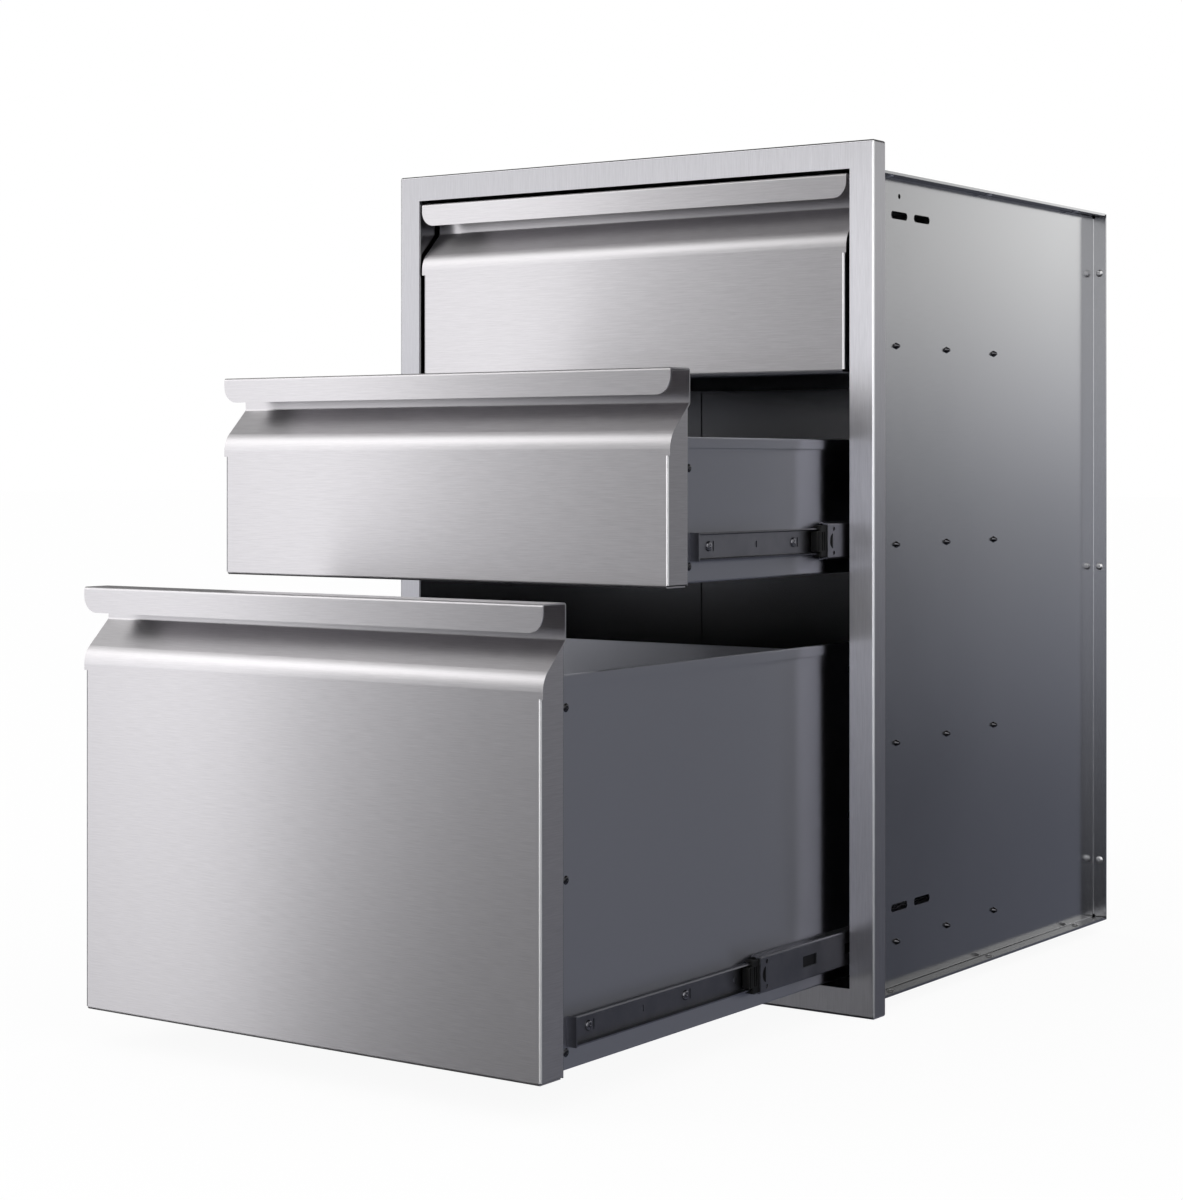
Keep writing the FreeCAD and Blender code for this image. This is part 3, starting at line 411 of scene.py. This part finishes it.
def grain(tree, axis):
    """Short hairlines along one axis."""
    return noise(tree, [HAIR_LONG if letter == axis else HAIR_FINE for letter in "XYZ"], 3, 0.7)


def bend(tree):
    """Where the sheet turns from the front to a side: one on the bend, nought on the flats."""
    turn = number(tree, "MULTIPLY", normal_along(tree, "X"), normal_along(tree, "Y"))
    return number(tree, "MULTIPLY", turn, 2.0)


def painted_shade_on_tray_walls(tree):
    """Painted shade's share: one on the side walls of a tray that look towards its middle, nought
    elsewhere.
    """
    place = along(tree, place_on(tree), "X")
    outward = number(tree, "MULTIPLY", place, along(tree, normal_of(tree), "X"))
    return number(tree, "LESS_THAN", outward, INNER_FROM)


def brushed_finish(name, dark, light, rough, stretch, way, folded, folded_way, painted_shade_inside=False):
    """Grain along one axis, and along another on faces that were folded to look along a third, with a
    painted highlight on the bends and, when asked, painted shade on the inner walls.
    """
    material, tree, shader = new_finish(name)
    on_fold = number(tree, "GREATER_THAN", normal_along(tree, folded), FOLDED_FROM)
    hair = mixed(tree, "FLOAT", on_fold, grain(tree, way), grain(tree, folded_way))
    # Painted highlight: the colour turns near-white on the bends, where the sheet turns from front to
    # side.
    colour = mixed(tree, "RGBA", bend(tree), tint(tree, hair, dark, light), PAINTED_BEND_HIGHLIGHT)
    if painted_shade_inside:
        # Painted shade on the inner walls of the trays.
        colour = with_painted_shade(tree, colour, painted_shade_on_tray_walls(tree), PAINTED_INNER_SHADE)
    tree.links.new(colour, shader.inputs["Base Color"])
    roughness = number(tree, "MULTIPLY_ADD", hair, HAIR_ROUGHNESS, rough - HAIR_ROUGHNESS / 2)
    tree.links.new(roughness, shader.inputs["Roughness"])
    shader.inputs["Metallic"].default_value = 1
    shader.inputs["Anisotropic"].default_value = stretch
    tangent = mixed(tree, "VECTOR", on_fold, across(tree, way), across(tree, folded_way))
    tree.links.new(tangent, shader.inputs["Tangent"])
    bump(tree, shader, hair, HAIR_BUMP, HAIR_DEPTH)
    print(material.name, "has", len(tree.nodes), "nodes")
    return material


def paint(nodes, material):
    """Puts a finish into every material slot of the named CAD pieces."""
    for name in nodes:
        for slot in frame["nodes"][name].material_slots:
            slot.material = material


# %% Drawer front steel
front_steel = brushed_finish(
    "brushed_front_steel", dark=(0.49, 0.476, 0.494), light=(0.74, 0.724, 0.746),
    rough=0.31, stretch=0.9, way="X", folded="X", folded_way="Y")
paint([f"{d}_drawer_front" for d in DRAWERS], front_steel)

# %% [markdown]
# ## The face frame
#
# The frame is cut from one sheet, opening and all, so its grain runs upright everywhere, over
# the rails too. The same finish does it with another axis.

# %% Frame steel
frame_steel = brushed_finish(
    "brushed_frame_steel", dark=(0.457, 0.451, 0.476), light=(0.695, 0.689, 0.722),
    rough=0.33, stretch=0.75, way="Z", folded="Z", folded_way="Y")
paint(["face_frame"], frame_steel)

# %% [markdown]
# ## The trays
#
# The trays are folded from sheet that was brushed very lightly along its length. Reflections are
# sharp along the grain's direction and blurred across it, which keeps the sides even in tone.
# Inside the walls the colour is darkened with painted shade.

# %% Tray steel
tray_steel = brushed_finish(
    "dull_tray_steel", dark=(0.474, 0.481, 0.532), light=(0.508, 0.517, 0.57),
    rough=0.34, stretch=1.0, way="Y", folded="Y", folded_way="X", painted_shade_inside=True)
for part in ("tray", "tray_front", "tray_back"):
    paint([f"{d}_drawer_{part}" for d in DRAWERS], tray_steel)

# %% [markdown]
# ## The box
#
# These sheets keep the mill's own satin finish: no scratches, only a faint cloudiness from the
# rolls. A slow noise moves the colour and the gloss a little, and a fine one gives tooth. Faces
# inside the box, and level faces that look towards its middle such as the flange undersides, get painted
# shade.

# %% Mill finish
CLOUDS = (5, 5, 5)
TOOTH = (700, 60, 700)
TOOTH_SHARE = 0.35
MILL_ROUGHNESS = 0.10
WALL = 0.208
LEVEL_FROM = 0.5
BOX_MIDDLE = (Vector(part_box("left_side_panel")[0]) + Vector(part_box("right_side_panel")[1])) / 2


def painted_shade_in_box(tree, middle):
    """Painted shade's share: one on faces that look towards the middle of the box, within its walls or
    level, but not on the outward rear flanges.
    """
    place = place_on(tree)
    inward = combined(tree, "SUBTRACT", middle, place).outputs[0]
    facing = combined(tree, "DOT_PRODUCT", inward, normal_of(tree)).outputs["Value"]
    within = number(tree, "LESS_THAN", number(tree, "ABSOLUTE", along(tree, place, "X")), WALL)
    level = number(tree, "GREATER_THAN", normal_along(tree, "Z"), LEVEL_FROM)
    inwards = number(tree, "GREATER_THAN", facing, 0.0)
    return number(tree, "MULTIPLY", inwards, number(tree, "MAXIMUM", within, level))


def mill_finish(name, dark, light, rough):
    """Satin outside, and darker inside with painted shade."""
    material, tree, shader = new_finish(name)
    tooth = noise(tree, TOOTH, 2, 0.6)
    cloud = mixed(tree, "FLOAT", TOOTH_SHARE, noise(tree, CLOUDS, 4, 0.55), tooth)
    # Painted shade on faces inside the box and on level faces that look inwards.
    colour = with_painted_shade(tree, tint(tree, cloud, dark, light), painted_shade_in_box(tree, BOX_MIDDLE), PAINTED_INNER_SHADE)
    tree.links.new(colour, shader.inputs["Base Color"])
    roughness = number(tree, "MULTIPLY_ADD", cloud, MILL_ROUGHNESS, rough)
    tree.links.new(roughness, shader.inputs["Roughness"])
    shader.inputs["Metallic"].default_value = 1
    bump(tree, shader, tooth, 0.10, 0.02 * MM)
    return material


box_steel = mill_finish(
    "satin_box_steel", dark=(0.448, 0.450, 0.462), light=(0.556, 0.558, 0.572), rough=0.13)
panels = ["left_side_panel", "right_side_panel", "top_panel", "bottom_panel", "back_panel"]
paint(panels + [f"{d}_drawer_liner" for d in DRAWERS], box_steel)
print("box finish:", box_steel.name)

# %% [markdown]
# ## Slides, screws, rivets and plastic
#
# The slides are plated dark, the screws a little lighter, the rivets are bright aluminium, and
# the end pieces are moulded plastic with a fine grain.

# %% Hardware finishes
PLATING_CLOUDS = (60, 60, 60)
PLATING_TOOTH = (900, 900, 900)
PLATING_ROUGHNESS = 0.16


def plated_finish(name, dark, light, rough, metal=1.0):
    """A cloudy plating, or a moulded skin where the metal is nought."""
    material, tree, shader = new_finish(name)
    cloud = noise(tree, PLATING_CLOUDS, 3, 0.6)
    tree.links.new(tint(tree, cloud, dark, light), shader.inputs["Base Color"])
    roughness = number(tree, "MULTIPLY_ADD", cloud, PLATING_ROUGHNESS, rough)
    tree.links.new(roughness, shader.inputs["Roughness"])
    shader.inputs["Metallic"].default_value = metal
    bump(tree, shader, noise(tree, PLATING_TOOTH, 2, 0.5), 0.03, 0.01 * MM)
    return material


slide_zinc = plated_finish("dark_plated_slide", (0.185, 0.185, 0.205), (0.29, 0.29, 0.32), 0.28)
cage_steel = plated_finish("blackened_cage", (0.03, 0.03, 0.032), (0.05, 0.05, 0.053), 0.40)
screw_zinc = plated_finish("plated_screw", (0.22, 0.22, 0.24), (0.34, 0.34, 0.37), 0.20)
nut_steel = plated_finish("dark_nut", (0.07, 0.07, 0.075), (0.12, 0.12, 0.13), 0.10)
rivet_metal = plated_finish("bright_rivet", (0.62, 0.62, 0.63), (0.78, 0.78, 0.79), 0.24)
ball_steel = plated_finish("polished_ball", (0.60, 0.60, 0.61), (0.70, 0.70, 0.71), 0.06)
plastic = plated_finish("black_end_plastic", (0.003, 0.003, 0.003), (0.007, 0.007, 0.007), 0.38, metal=0.0)
plastic.node_tree.nodes["Principled BSDF"].inputs["Specular IOR Level"].default_value = 0.2


def named(ending):
    """The CAD pieces whose names end like this."""
    return [name for name in frame["nodes"] if name.endswith(ending)]


for names, material in ((named("_member"), slide_zinc), (named("ball_cages"), cage_steel),
                        (named("screws"), screw_zinc), (["slide_cabinet_screws"], nut_steel),
                        (named("rivets"), rivet_metal), (named("bumpers"), plastic)):
    paint(names, material)
    print(material.name, len(names))
finished = {slot.material.name for node in frame["nodes"].values() for slot in node.material_slots}
print("finishes in use:", sorted(finished))

# %% [markdown]
# ## Turned parts
#
# Rivets, screws and balls are round about an axis, so each is modelled like a part on a lathe:
# one point is extruded along half of the outline, and the outline is spun once round. A cylinder
# with a bevel would be the other way, but it gives no dished top and no dimple.

# %% Lathe helpers
SMOOTH_BELOW = math.radians(40)


def only(*pieces):
    """Selects these pieces and nothing else."""
    bpy.ops.object.select_all(action="DESELECT")
    for piece in pieces:
        piece.select_set(True)
    bpy.context.view_layer.objects.active = pieces[-1]


def drop(*masters):
    """Removes the masters once their copies are in place."""
    only(*masters)
    bpy.ops.object.delete()


def turned(outline, name, steps=20):
    """Spins an outline of (radius, height) points, in millimetres, round the upright axis."""
    points = [Vector((radius, 0, height)) * MM for radius, height in outline]
    bpy.ops.object.select_all(action="DESELECT")
    bpy.ops.mesh.primitive_plane_add(size=MM, location=(0, 0, 0))
    piece = bpy.context.object
    piece.name = name
    bpy.ops.object.mode_set(mode="EDIT")
    bpy.ops.mesh.merge(type="CENTER")
    bpy.ops.transform.translate(value=points[0])
    for here, there in zip(points, points[1:]):
        bpy.ops.mesh.extrude_vertices_move(TRANSFORM_OT_translate={"value": there - here})
    bpy.ops.mesh.select_all(action="SELECT")
    bpy.ops.mesh.spin(steps=steps, angle=2 * math.pi, center=(0, 0, 0), axis=(0, 0, 1))
    bpy.ops.mesh.select_all(action="SELECT")
    bpy.ops.mesh.remove_doubles(threshold=0.01 * MM)
    bpy.ops.mesh.normals_make_consistent(inside=False)
    bpy.ops.object.mode_set(mode="OBJECT")
    only(piece)
    bpy.ops.object.shade_smooth_by_angle(angle=SMOOTH_BELOW)
    return piece


# %% Copies and what they ride on
def dressed(piece, body, finish, slot, *nodes):
    """Gives a piece its finish, sets it to ride on its body, and hides the CAD pieces it stands for."""
    piece.data.materials.clear()
    piece.data.materials.append(finish)
    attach(piece, body)
    if nodes:
        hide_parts(*nodes)
    return piece


def joined(pieces, name):
    """One mesh from several, its place in the mesh and its origin at the frame's."""
    only(*pieces)
    bpy.ops.object.join()
    piece = bpy.context.object
    piece.name = name
    bpy.ops.object.transform_apply(location=True, rotation=True, scale=True)
    return piece


def copies(master, places, name, body, finish, slot, *nodes):
    """Sets a shape on every place, given with the way it looks, and joins the copies."""
    made = []
    for place, way in places:
        only(master)
        bpy.ops.object.duplicate()
        copy = bpy.context.object
        copy.location = place
        copy.rotation_euler = Vector(way).to_track_quat("Z", "X").to_euler()
        made.append(copy)
    return dressed(joined(made, name), body, finish, slot, *nodes)


print("edges stay sharp from", round(math.degrees(SMOOTH_BELOW)), "degrees")

# %% [markdown]
# ## Where the heads sit
#
# A CAD node holds a whole row of rivets or screws in one mesh. A merged copy falls into islands,
# and each island tells where its head sits and which way it looks: the widest ring is the seat,
# and the dome is the shorter end.

# %% Seats from the CAD
MERGE_GAP = 0.001 * MM


def islands(node):
    """The points of every separate solid in a CAD node."""
    mesh = bmesh.new()
    mesh.from_mesh(frame["nodes"][node].data)
    bmesh.ops.remove_doubles(mesh, verts=mesh.verts, dist=MERGE_GAP)
    left = set(mesh.verts)
    groups = []
    while left:
        queue = [left.pop()]
        group = []
        while queue:
            vertex = queue.pop()
            group.append(vertex.co.copy())
            linked = {edge.other_vert(vertex) for edge in vertex.link_edges} & left
            left -= linked
            queue += linked
        groups.append(group)
    mesh.free()
    return groups


def seat_of(points):
    """The middle of a head's seat and the way the head looks."""
    low = Vector([min(p[i] for p in points) for i in range(3)])
    high = Vector([max(p[i] for p in points) for i in range(3)])
    middle = (low + high) / 2
    axis = min(range(3), key=lambda i: high[i] - low[i])
    round_it = [i for i in range(3) if i != axis]
    rim = max(points, key=lambda p: sum((p[i] - middle[i]) ** 2 for i in round_it))
    middle[axis] = rim[axis]
    way = Vector((0, 0, 0))
    way[axis] = 1 if high[axis] - rim[axis] < rim[axis] - low[axis] else -1
    return middle, way


def seats(node):
    """The seats of a node's heads, in the order of their places."""
    found = [seat_of(points) for points in islands(node)]
    return sorted(found, key=lambda seat: tuple(round(v, 5) for v in seat[0]))


for node in ("box_rivets", "top_drawer_tray_rivets", "top_drawer_slide_screws"):
    print(node, "has", len(seats(node)), "seats")

# %% [markdown]
# ## Blind rivets
#
# A blind rivet keeps the end of its mandrel, so its low dome has a small dimple in the middle.
# The rivets of the box are bright aluminium. Those of the trays are as dark as the nuts.

# %% Rivets
RIVET_GRIP = 2.0


def rivet(head, rise, shank, grip):
    """A low dome with a dimple, on a shank that ends flush behind the sheets."""
    outline = [(0, rise * 0.5), (shank * 0.42, rise * 0.5), (shank * 0.55, rise * 0.96),
               (head * 0.45, rise), (head * 0.72, rise * 0.8), (head * 0.9, rise * 0.45),
               (head, rise * 0.12), (head, 0), (shank, 0), (shank, -grip), (0, -grip)]
    return turned(outline, "rivet_master")


box_rivet = rivet(head=3.2, rise=1.1, shank=1.6, grip=RIVET_GRIP)
tray_rivet = rivet(head=3.0, rise=0.8, shank=1.6, grip=RIVET_GRIP)
copies(box_rivet, seats("box_rivets"), "domed_box_rivets",
       "cabinet", rivet_metal, "rivet_aluminium", "box_rivets")
for d in DRAWERS:
    node = f"{d}_drawer_tray_rivets"
    copies(tray_rivet, seats(node), f"{d}_domed_tray_rivets",
           f"{d}_drawer", nut_steel, "rivet_aluminium", node)
drop(box_rivet, tray_rivet)
print("rivets in the box:", len(seats("box_rivets")))

# %% [markdown]
# ## Cross-head screws
#
# The screws of the drawer members and the fronts have low pan heads with a cross recess. The
# head is turned, and two tapered blades are taken out of it with boolean modifiers. Their threads
# stay hidden in the sheets, so the shanks are plain.

# %% Screws
SLIDE_SCREW_GRIP = 5.1
FRONT_SCREW_GRIP = 6.0
SCREW_STEPS = 24
BLADE_WIDTH = 0.9
BLADE_STANDS_OUT = 0.3
POINT_RISE = 0.6


def blade(reach, width, top, depth, turn):
    """One tapered wing of a screwdriver's tip, standing in the head."""
    bpy.ops.object.select_all(action="DESELECT")
    bpy.ops.mesh.primitive_cube_add(size=MM, location=(0, 0, (top - depth / 2) * MM))
    piece = bpy.context.object
    bpy.ops.object.mode_set(mode="EDIT")
    bpy.ops.transform.resize(value=(2 * reach, width, depth), center_override=piece.location)
    lowest = min(bmesh.from_edit_mesh(piece.data).faces, key=lambda face: face.calc_center_median().z)
    bpy.ops.mesh.select_all(action="DESELECT")
    lowest.select_set(True)
    bmesh.update_edit_mesh(piece.data)
    bpy.ops.transform.resize(value=(0.5, 0.6, 1), center_override=piece.location)
    bpy.ops.object.mode_set(mode="OBJECT")
    piece.rotation_euler = (0, 0, math.radians(turn))
    return piece


def screw(head, rise, shank, grip):
    """A pan head with a cross recess, on a plain shank with a blunt point."""
    outline = [(0, rise), (head * 0.6, rise), (head * 0.82, rise * 0.86), (head * 0.95, rise * 0.55),
               (head, rise * 0.15), (head, 0), (shank, 0), (shank, -grip + POINT_RISE),
               (shank * 0.7, -grip), (0, -grip)]
    piece = turned(outline, "screw_master", SCREW_STEPS)
    top = rise + BLADE_STANDS_OUT
    for turn in (0, 90):
        tool = blade(head * 0.56, BLADE_WIDTH, top, rise * 0.8 + BLADE_STANDS_OUT, turn)
        only(piece)
        cut = piece.modifiers.new("recess", "BOOLEAN")
        cut.operation = "DIFFERENCE"
        cut.object = tool
        bpy.ops.object.modifier_apply(modifier="recess")
        drop(tool)
    only(piece)
    bpy.ops.object.shade_smooth_by_angle(angle=SMOOTH_BELOW)
    return piece


slide_screw = screw(head=3.6, rise=1.3, shank=1.9, grip=SLIDE_SCREW_GRIP)
front_screw = screw(head=4.0, rise=2.2, shank=2.0, grip=FRONT_SCREW_GRIP)
for d in DRAWERS:
    for kind, master in (("slide", slide_screw), ("front", front_screw)):
        node = f"{d}_drawer_{kind}_screws"
        copies(master, seats(node), f"{d}_cross_head_{kind}_screws",
               f"{d}_drawer", screw_zinc, "screw_zinc", node)
drop(slide_screw, front_screw)
print("screws per drawer:", len(seats("top_drawer_slide_screws")), "in the slides")

# %% [markdown]
# ## Bearing balls
#
# Two rows of balls run between the members of every slide. The cages in the CAD have a pocket for
# each, so the balls are set along the middle of the races, from pocket to pocket. They are turned
# with few faces, because there are many of them and smooth shading hides it.

# %% Balls
SLIDE_LINES = {"top": 0.503, "middle": 0.349, "bottom": 0.041}
RACES = {
    "outer": {"radius": 1.75, "across": 0.2013, "rise": 0.01497, "pockets": 5},
    "inner": {"radius": 2.05, "across": 0.1981, "rise": 0.01125, "pockets": 4},
}
BALL_STEPS = 10


def ball(radius):
    """A ball from an outline with a point at each eighth of a turn."""
    angles = [math.radians(a) for a in (0, 45, 90, 135, 180)]
    outline = [(radius * math.sin(a), radius * math.cos(a)) for a in angles]
    piece = turned(outline, "ball_master", BALL_STEPS)
    bpy.ops.object.shade_smooth()
    return piece


def ball_places(d, kind, race):
    """The middles of all the balls between one drawer's members, both sides, both rows."""
    low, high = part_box(f"{d}_{kind}_ball_cages")
    pitch = (high[1] - low[1]) / race["pockets"]
    places = []
    for side in SIDES.values():
        for row in (-1, 1):
            for pocket in range(race["pockets"]):
                along_slide = low[1] + (pocket + 0.5) * pitch
                place = Vector((side * race["across"], along_slide, SLIDE_LINES[d] + row * race["rise"]))
                places.append((place, (0, 0, 1)))
    return places


for kind, race in RACES.items():
    master = ball(race["radius"])
    for d in DRAWERS:
        places = ball_places(d, kind, race)
        copies(master, places, f"{d}_{kind}_balls",
               f"{d}_{kind}_cages", ball_steel, "slide_zinc")
    drop(master)
    print(kind, "balls per drawer:", len(places))

# %% [markdown]
# ## Black end pieces
#
# A moulded piece plugs the front of every middle member and guides the drawer member. It is pulled
# out of one block: the bar and its wings are extruded, and the ribs are what insets leave standing
# between the grooves. A small bevel at the end gives the soft edges of a moulding.

# %% Edit-mode helpers
def pick(mesh, wanted):
    """Selects the faces of an edited mesh whose middle and normal, in millimetres, are wanted."""
    bpy.ops.mesh.select_all(action="DESELECT")
    faces = [face for face in mesh.faces if wanted(face.calc_center_median() / MM, face.normal)]
    for face in faces:
        face.select_set(True)
    return len(faces)


def bisect(place, normal):
    """Cuts the whole mesh along a plane and keeps both halves. The place is in millimetres."""
    bpy.ops.mesh.select_all(action="SELECT")
    bpy.ops.mesh.bisect(plane_co=Vector(place) * MM, plane_no=normal)


def pull(value):
    """Extrudes the selected faces by a step in millimetres."""
    bpy.ops.mesh.extrude_region_move(TRANSFORM_OT_translate={"value": Vector(value) * MM})


def rounded(piece, width, sharp_from):
    """Rounds every edge sharper than an angle with two strips. The width is in metres."""
    only(piece)
    rounding = piece.modifiers.new("rounding", "BEVEL")
    rounding.width = width
    rounding.segments = 2
    rounding.limit_method = "ANGLE"
    rounding.angle_limit = math.radians(sharp_from)
    bpy.ops.object.modifier_apply(modifier="rounding")


# %% End piece
CORE = ((197.55, -14.0, -7.65), (203.0, 9.0, 7.65))
BAR_FROM = 201.05
BAR_FRONT = -9.0
WING_TIP = 196.7
WING_LOW = 10.25
WING_HIGH = 11.85
RIB_LINES = (-13.3, -10.5, -7.7, -4.9, -2.1)
RIB_WALL = 0.6
GROOVE_DEPTH = 0.8
MOULDED_EDGE = 0.25 * MM


def end_piece():
    """The right one, its member's front at Y nought and its slide's line at Z nought."""
    low, high = (Vector(corner) for corner in CORE)
    bpy.ops.object.select_all(action="DESELECT")
    bpy.ops.mesh.primitive_cube_add(size=MM, location=(0, 0, 0))
    piece = bpy.context.object
    piece.name = "end_piece_master"
    bpy.ops.object.mode_set(mode="EDIT")
    bpy.ops.transform.resize(value=high - low, center_override=(0, 0, 0))
    bpy.ops.transform.translate(value=(low + high) / 2 * MM)
    bisect((BAR_FROM, 0, 0), (1, 0, 0))
    bisect((0, BAR_FRONT, 0), (0, 1, 0))
    for up in (-1, 1):
        mesh = bmesh.from_edit_mesh(piece.data)
        pick(mesh, lambda c, n: n.z * up > 0.9 and c.x > BAR_FROM and c.y > BAR_FRONT)
        pull((0, 0, up * (WING_HIGH - high.z)))
        bisect((0, 0, up * WING_LOW), (0, 0, 1))
        mesh = bmesh.from_edit_mesh(piece.data)
        pick(mesh, lambda c, n: n.x < -0.9 and c.z * up > WING_LOW)
        pull((WING_TIP - BAR_FROM, 0, 0))
    for line in RIB_LINES:
        bisect((0, line, 0), (0, 1, 0))
    mesh = bmesh.from_edit_mesh(piece.data)
    first, last = RIB_LINES[0], RIB_LINES[-1]
    grooves = pick(mesh, lambda c, n: n.x > 0.9 and first < c.y < last and abs(c.z) < high.z)
    bpy.ops.mesh.inset(thickness=RIB_WALL * MM, use_individual=True)
    pull((-GROOVE_DEPTH, 0, 0))
    bpy.ops.object.mode_set(mode="OBJECT")
    rounded(piece, MOULDED_EDGE, sharp_from=40)
    bpy.ops.object.shade_smooth_by_angle(angle=SMOOTH_BELOW)
    print("end piece:", grooves, "grooves,", len(piece.data.polygons), "faces")
    return piece


def mirrored(piece):
    """A left-hand copy, its normals turned outwards again."""
    only(piece)
    bpy.ops.object.duplicate()
    other = bpy.context.object
    bpy.ops.object.mode_set(mode="EDIT")
    bpy.ops.mesh.select_all(action="SELECT")
    bpy.ops.transform.resize(value=(-1, 1, 1), center_override=(0, 0, 0))
    bpy.ops.mesh.normals_make_consistent(inside=False)
    bpy.ops.object.mode_set(mode="OBJECT")
    return other


# %% End pieces in place
right_end = end_piece()
left_end = mirrored(right_end)
for d in DRAWERS:
    made = []
    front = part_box(f"{d}_right_slide_middle_member")[0][1]
    for master in (right_end, left_end):
        only(master)
        bpy.ops.object.duplicate()
        bpy.ops.transform.translate(value=(0, front, SLIDE_LINES[d]))
        made.append(bpy.context.object)
    piece = joined(made, f"{d}_end_pieces")
    dressed(piece, f"{d}_slide_middles", plastic, "black_plastic", f"{d}_slide_bumpers")
    print(piece.name, "at Y", round(front, 4))
drop(right_end, left_end)

# %% [markdown]
# ## Sheet edges
#
# The CAD's sheets end in knife-sharp corners, but real cut and rolled edges are a little round,
# and that roundness is what draws the thin bright lines along a slide. A copy of the CAD mesh is
# merged, its flat faces are joined again, and a small bevel modifier rounds what is left. The
# weighted normals then keep the wide faces flat to the eye, so only the edges catch the light.
# Rounding everything in the CAD would be the other way, but it would cost many more faces there.

# %% Rounded edges
ROLLED_EDGE = 0.3 * MM
SAME_PLANE = math.radians(1)


def softened(node, body, finish, slot, width):
    """A copy of a CAD piece with its sharp edges rounded, which stands for the CAD piece."""
    only(frame["nodes"][node])
    bpy.ops.object.duplicate()
    piece = bpy.context.object
    piece.name = f"{node}_rounded"
    for key in list(piece.keys()):
        del piece[key]
    only(piece)
    bpy.ops.object.parent_clear(type="CLEAR_KEEP_TRANSFORM")
    bpy.ops.object.mode_set(mode="EDIT")
    bpy.ops.mesh.select_all(action="SELECT")
    bpy.ops.mesh.remove_doubles(threshold=MERGE_GAP)
    bpy.ops.mesh.select_all(action="SELECT")
    bpy.ops.mesh.dissolve_limited(angle_limit=SAME_PLANE)
    bpy.ops.object.mode_set(mode="OBJECT")
    rounded(piece, width, sharp_from=50)
    bpy.ops.object.shade_smooth_by_angle(angle=math.radians(60))
    even = piece.modifiers.new("even_shading", "WEIGHTED_NORMAL")
    even.keep_sharp = True
    bpy.ops.object.modifier_apply(modifier="even_shading")
    return dressed(piece, body, finish, slot, node)


for d in DRAWERS:
    for side in SIDES:
        for member, body in (("middle", f"{d}_slide_middles"), ("drawer", f"{d}_drawer")):
            softened(f"{d}_{side}_slide_{member}_member", body, slide_zinc, "slide_zinc", ROLLED_EDGE)
print("rounded slide members:", len(DRAWERS) * len(SIDES) * 2)

# %% [markdown]
# ## The CAD box
#
# The box of the CAD unit, taken before anything was added, is printed.

# %% Close
print("cad box", [list(c) for c in cad_box])
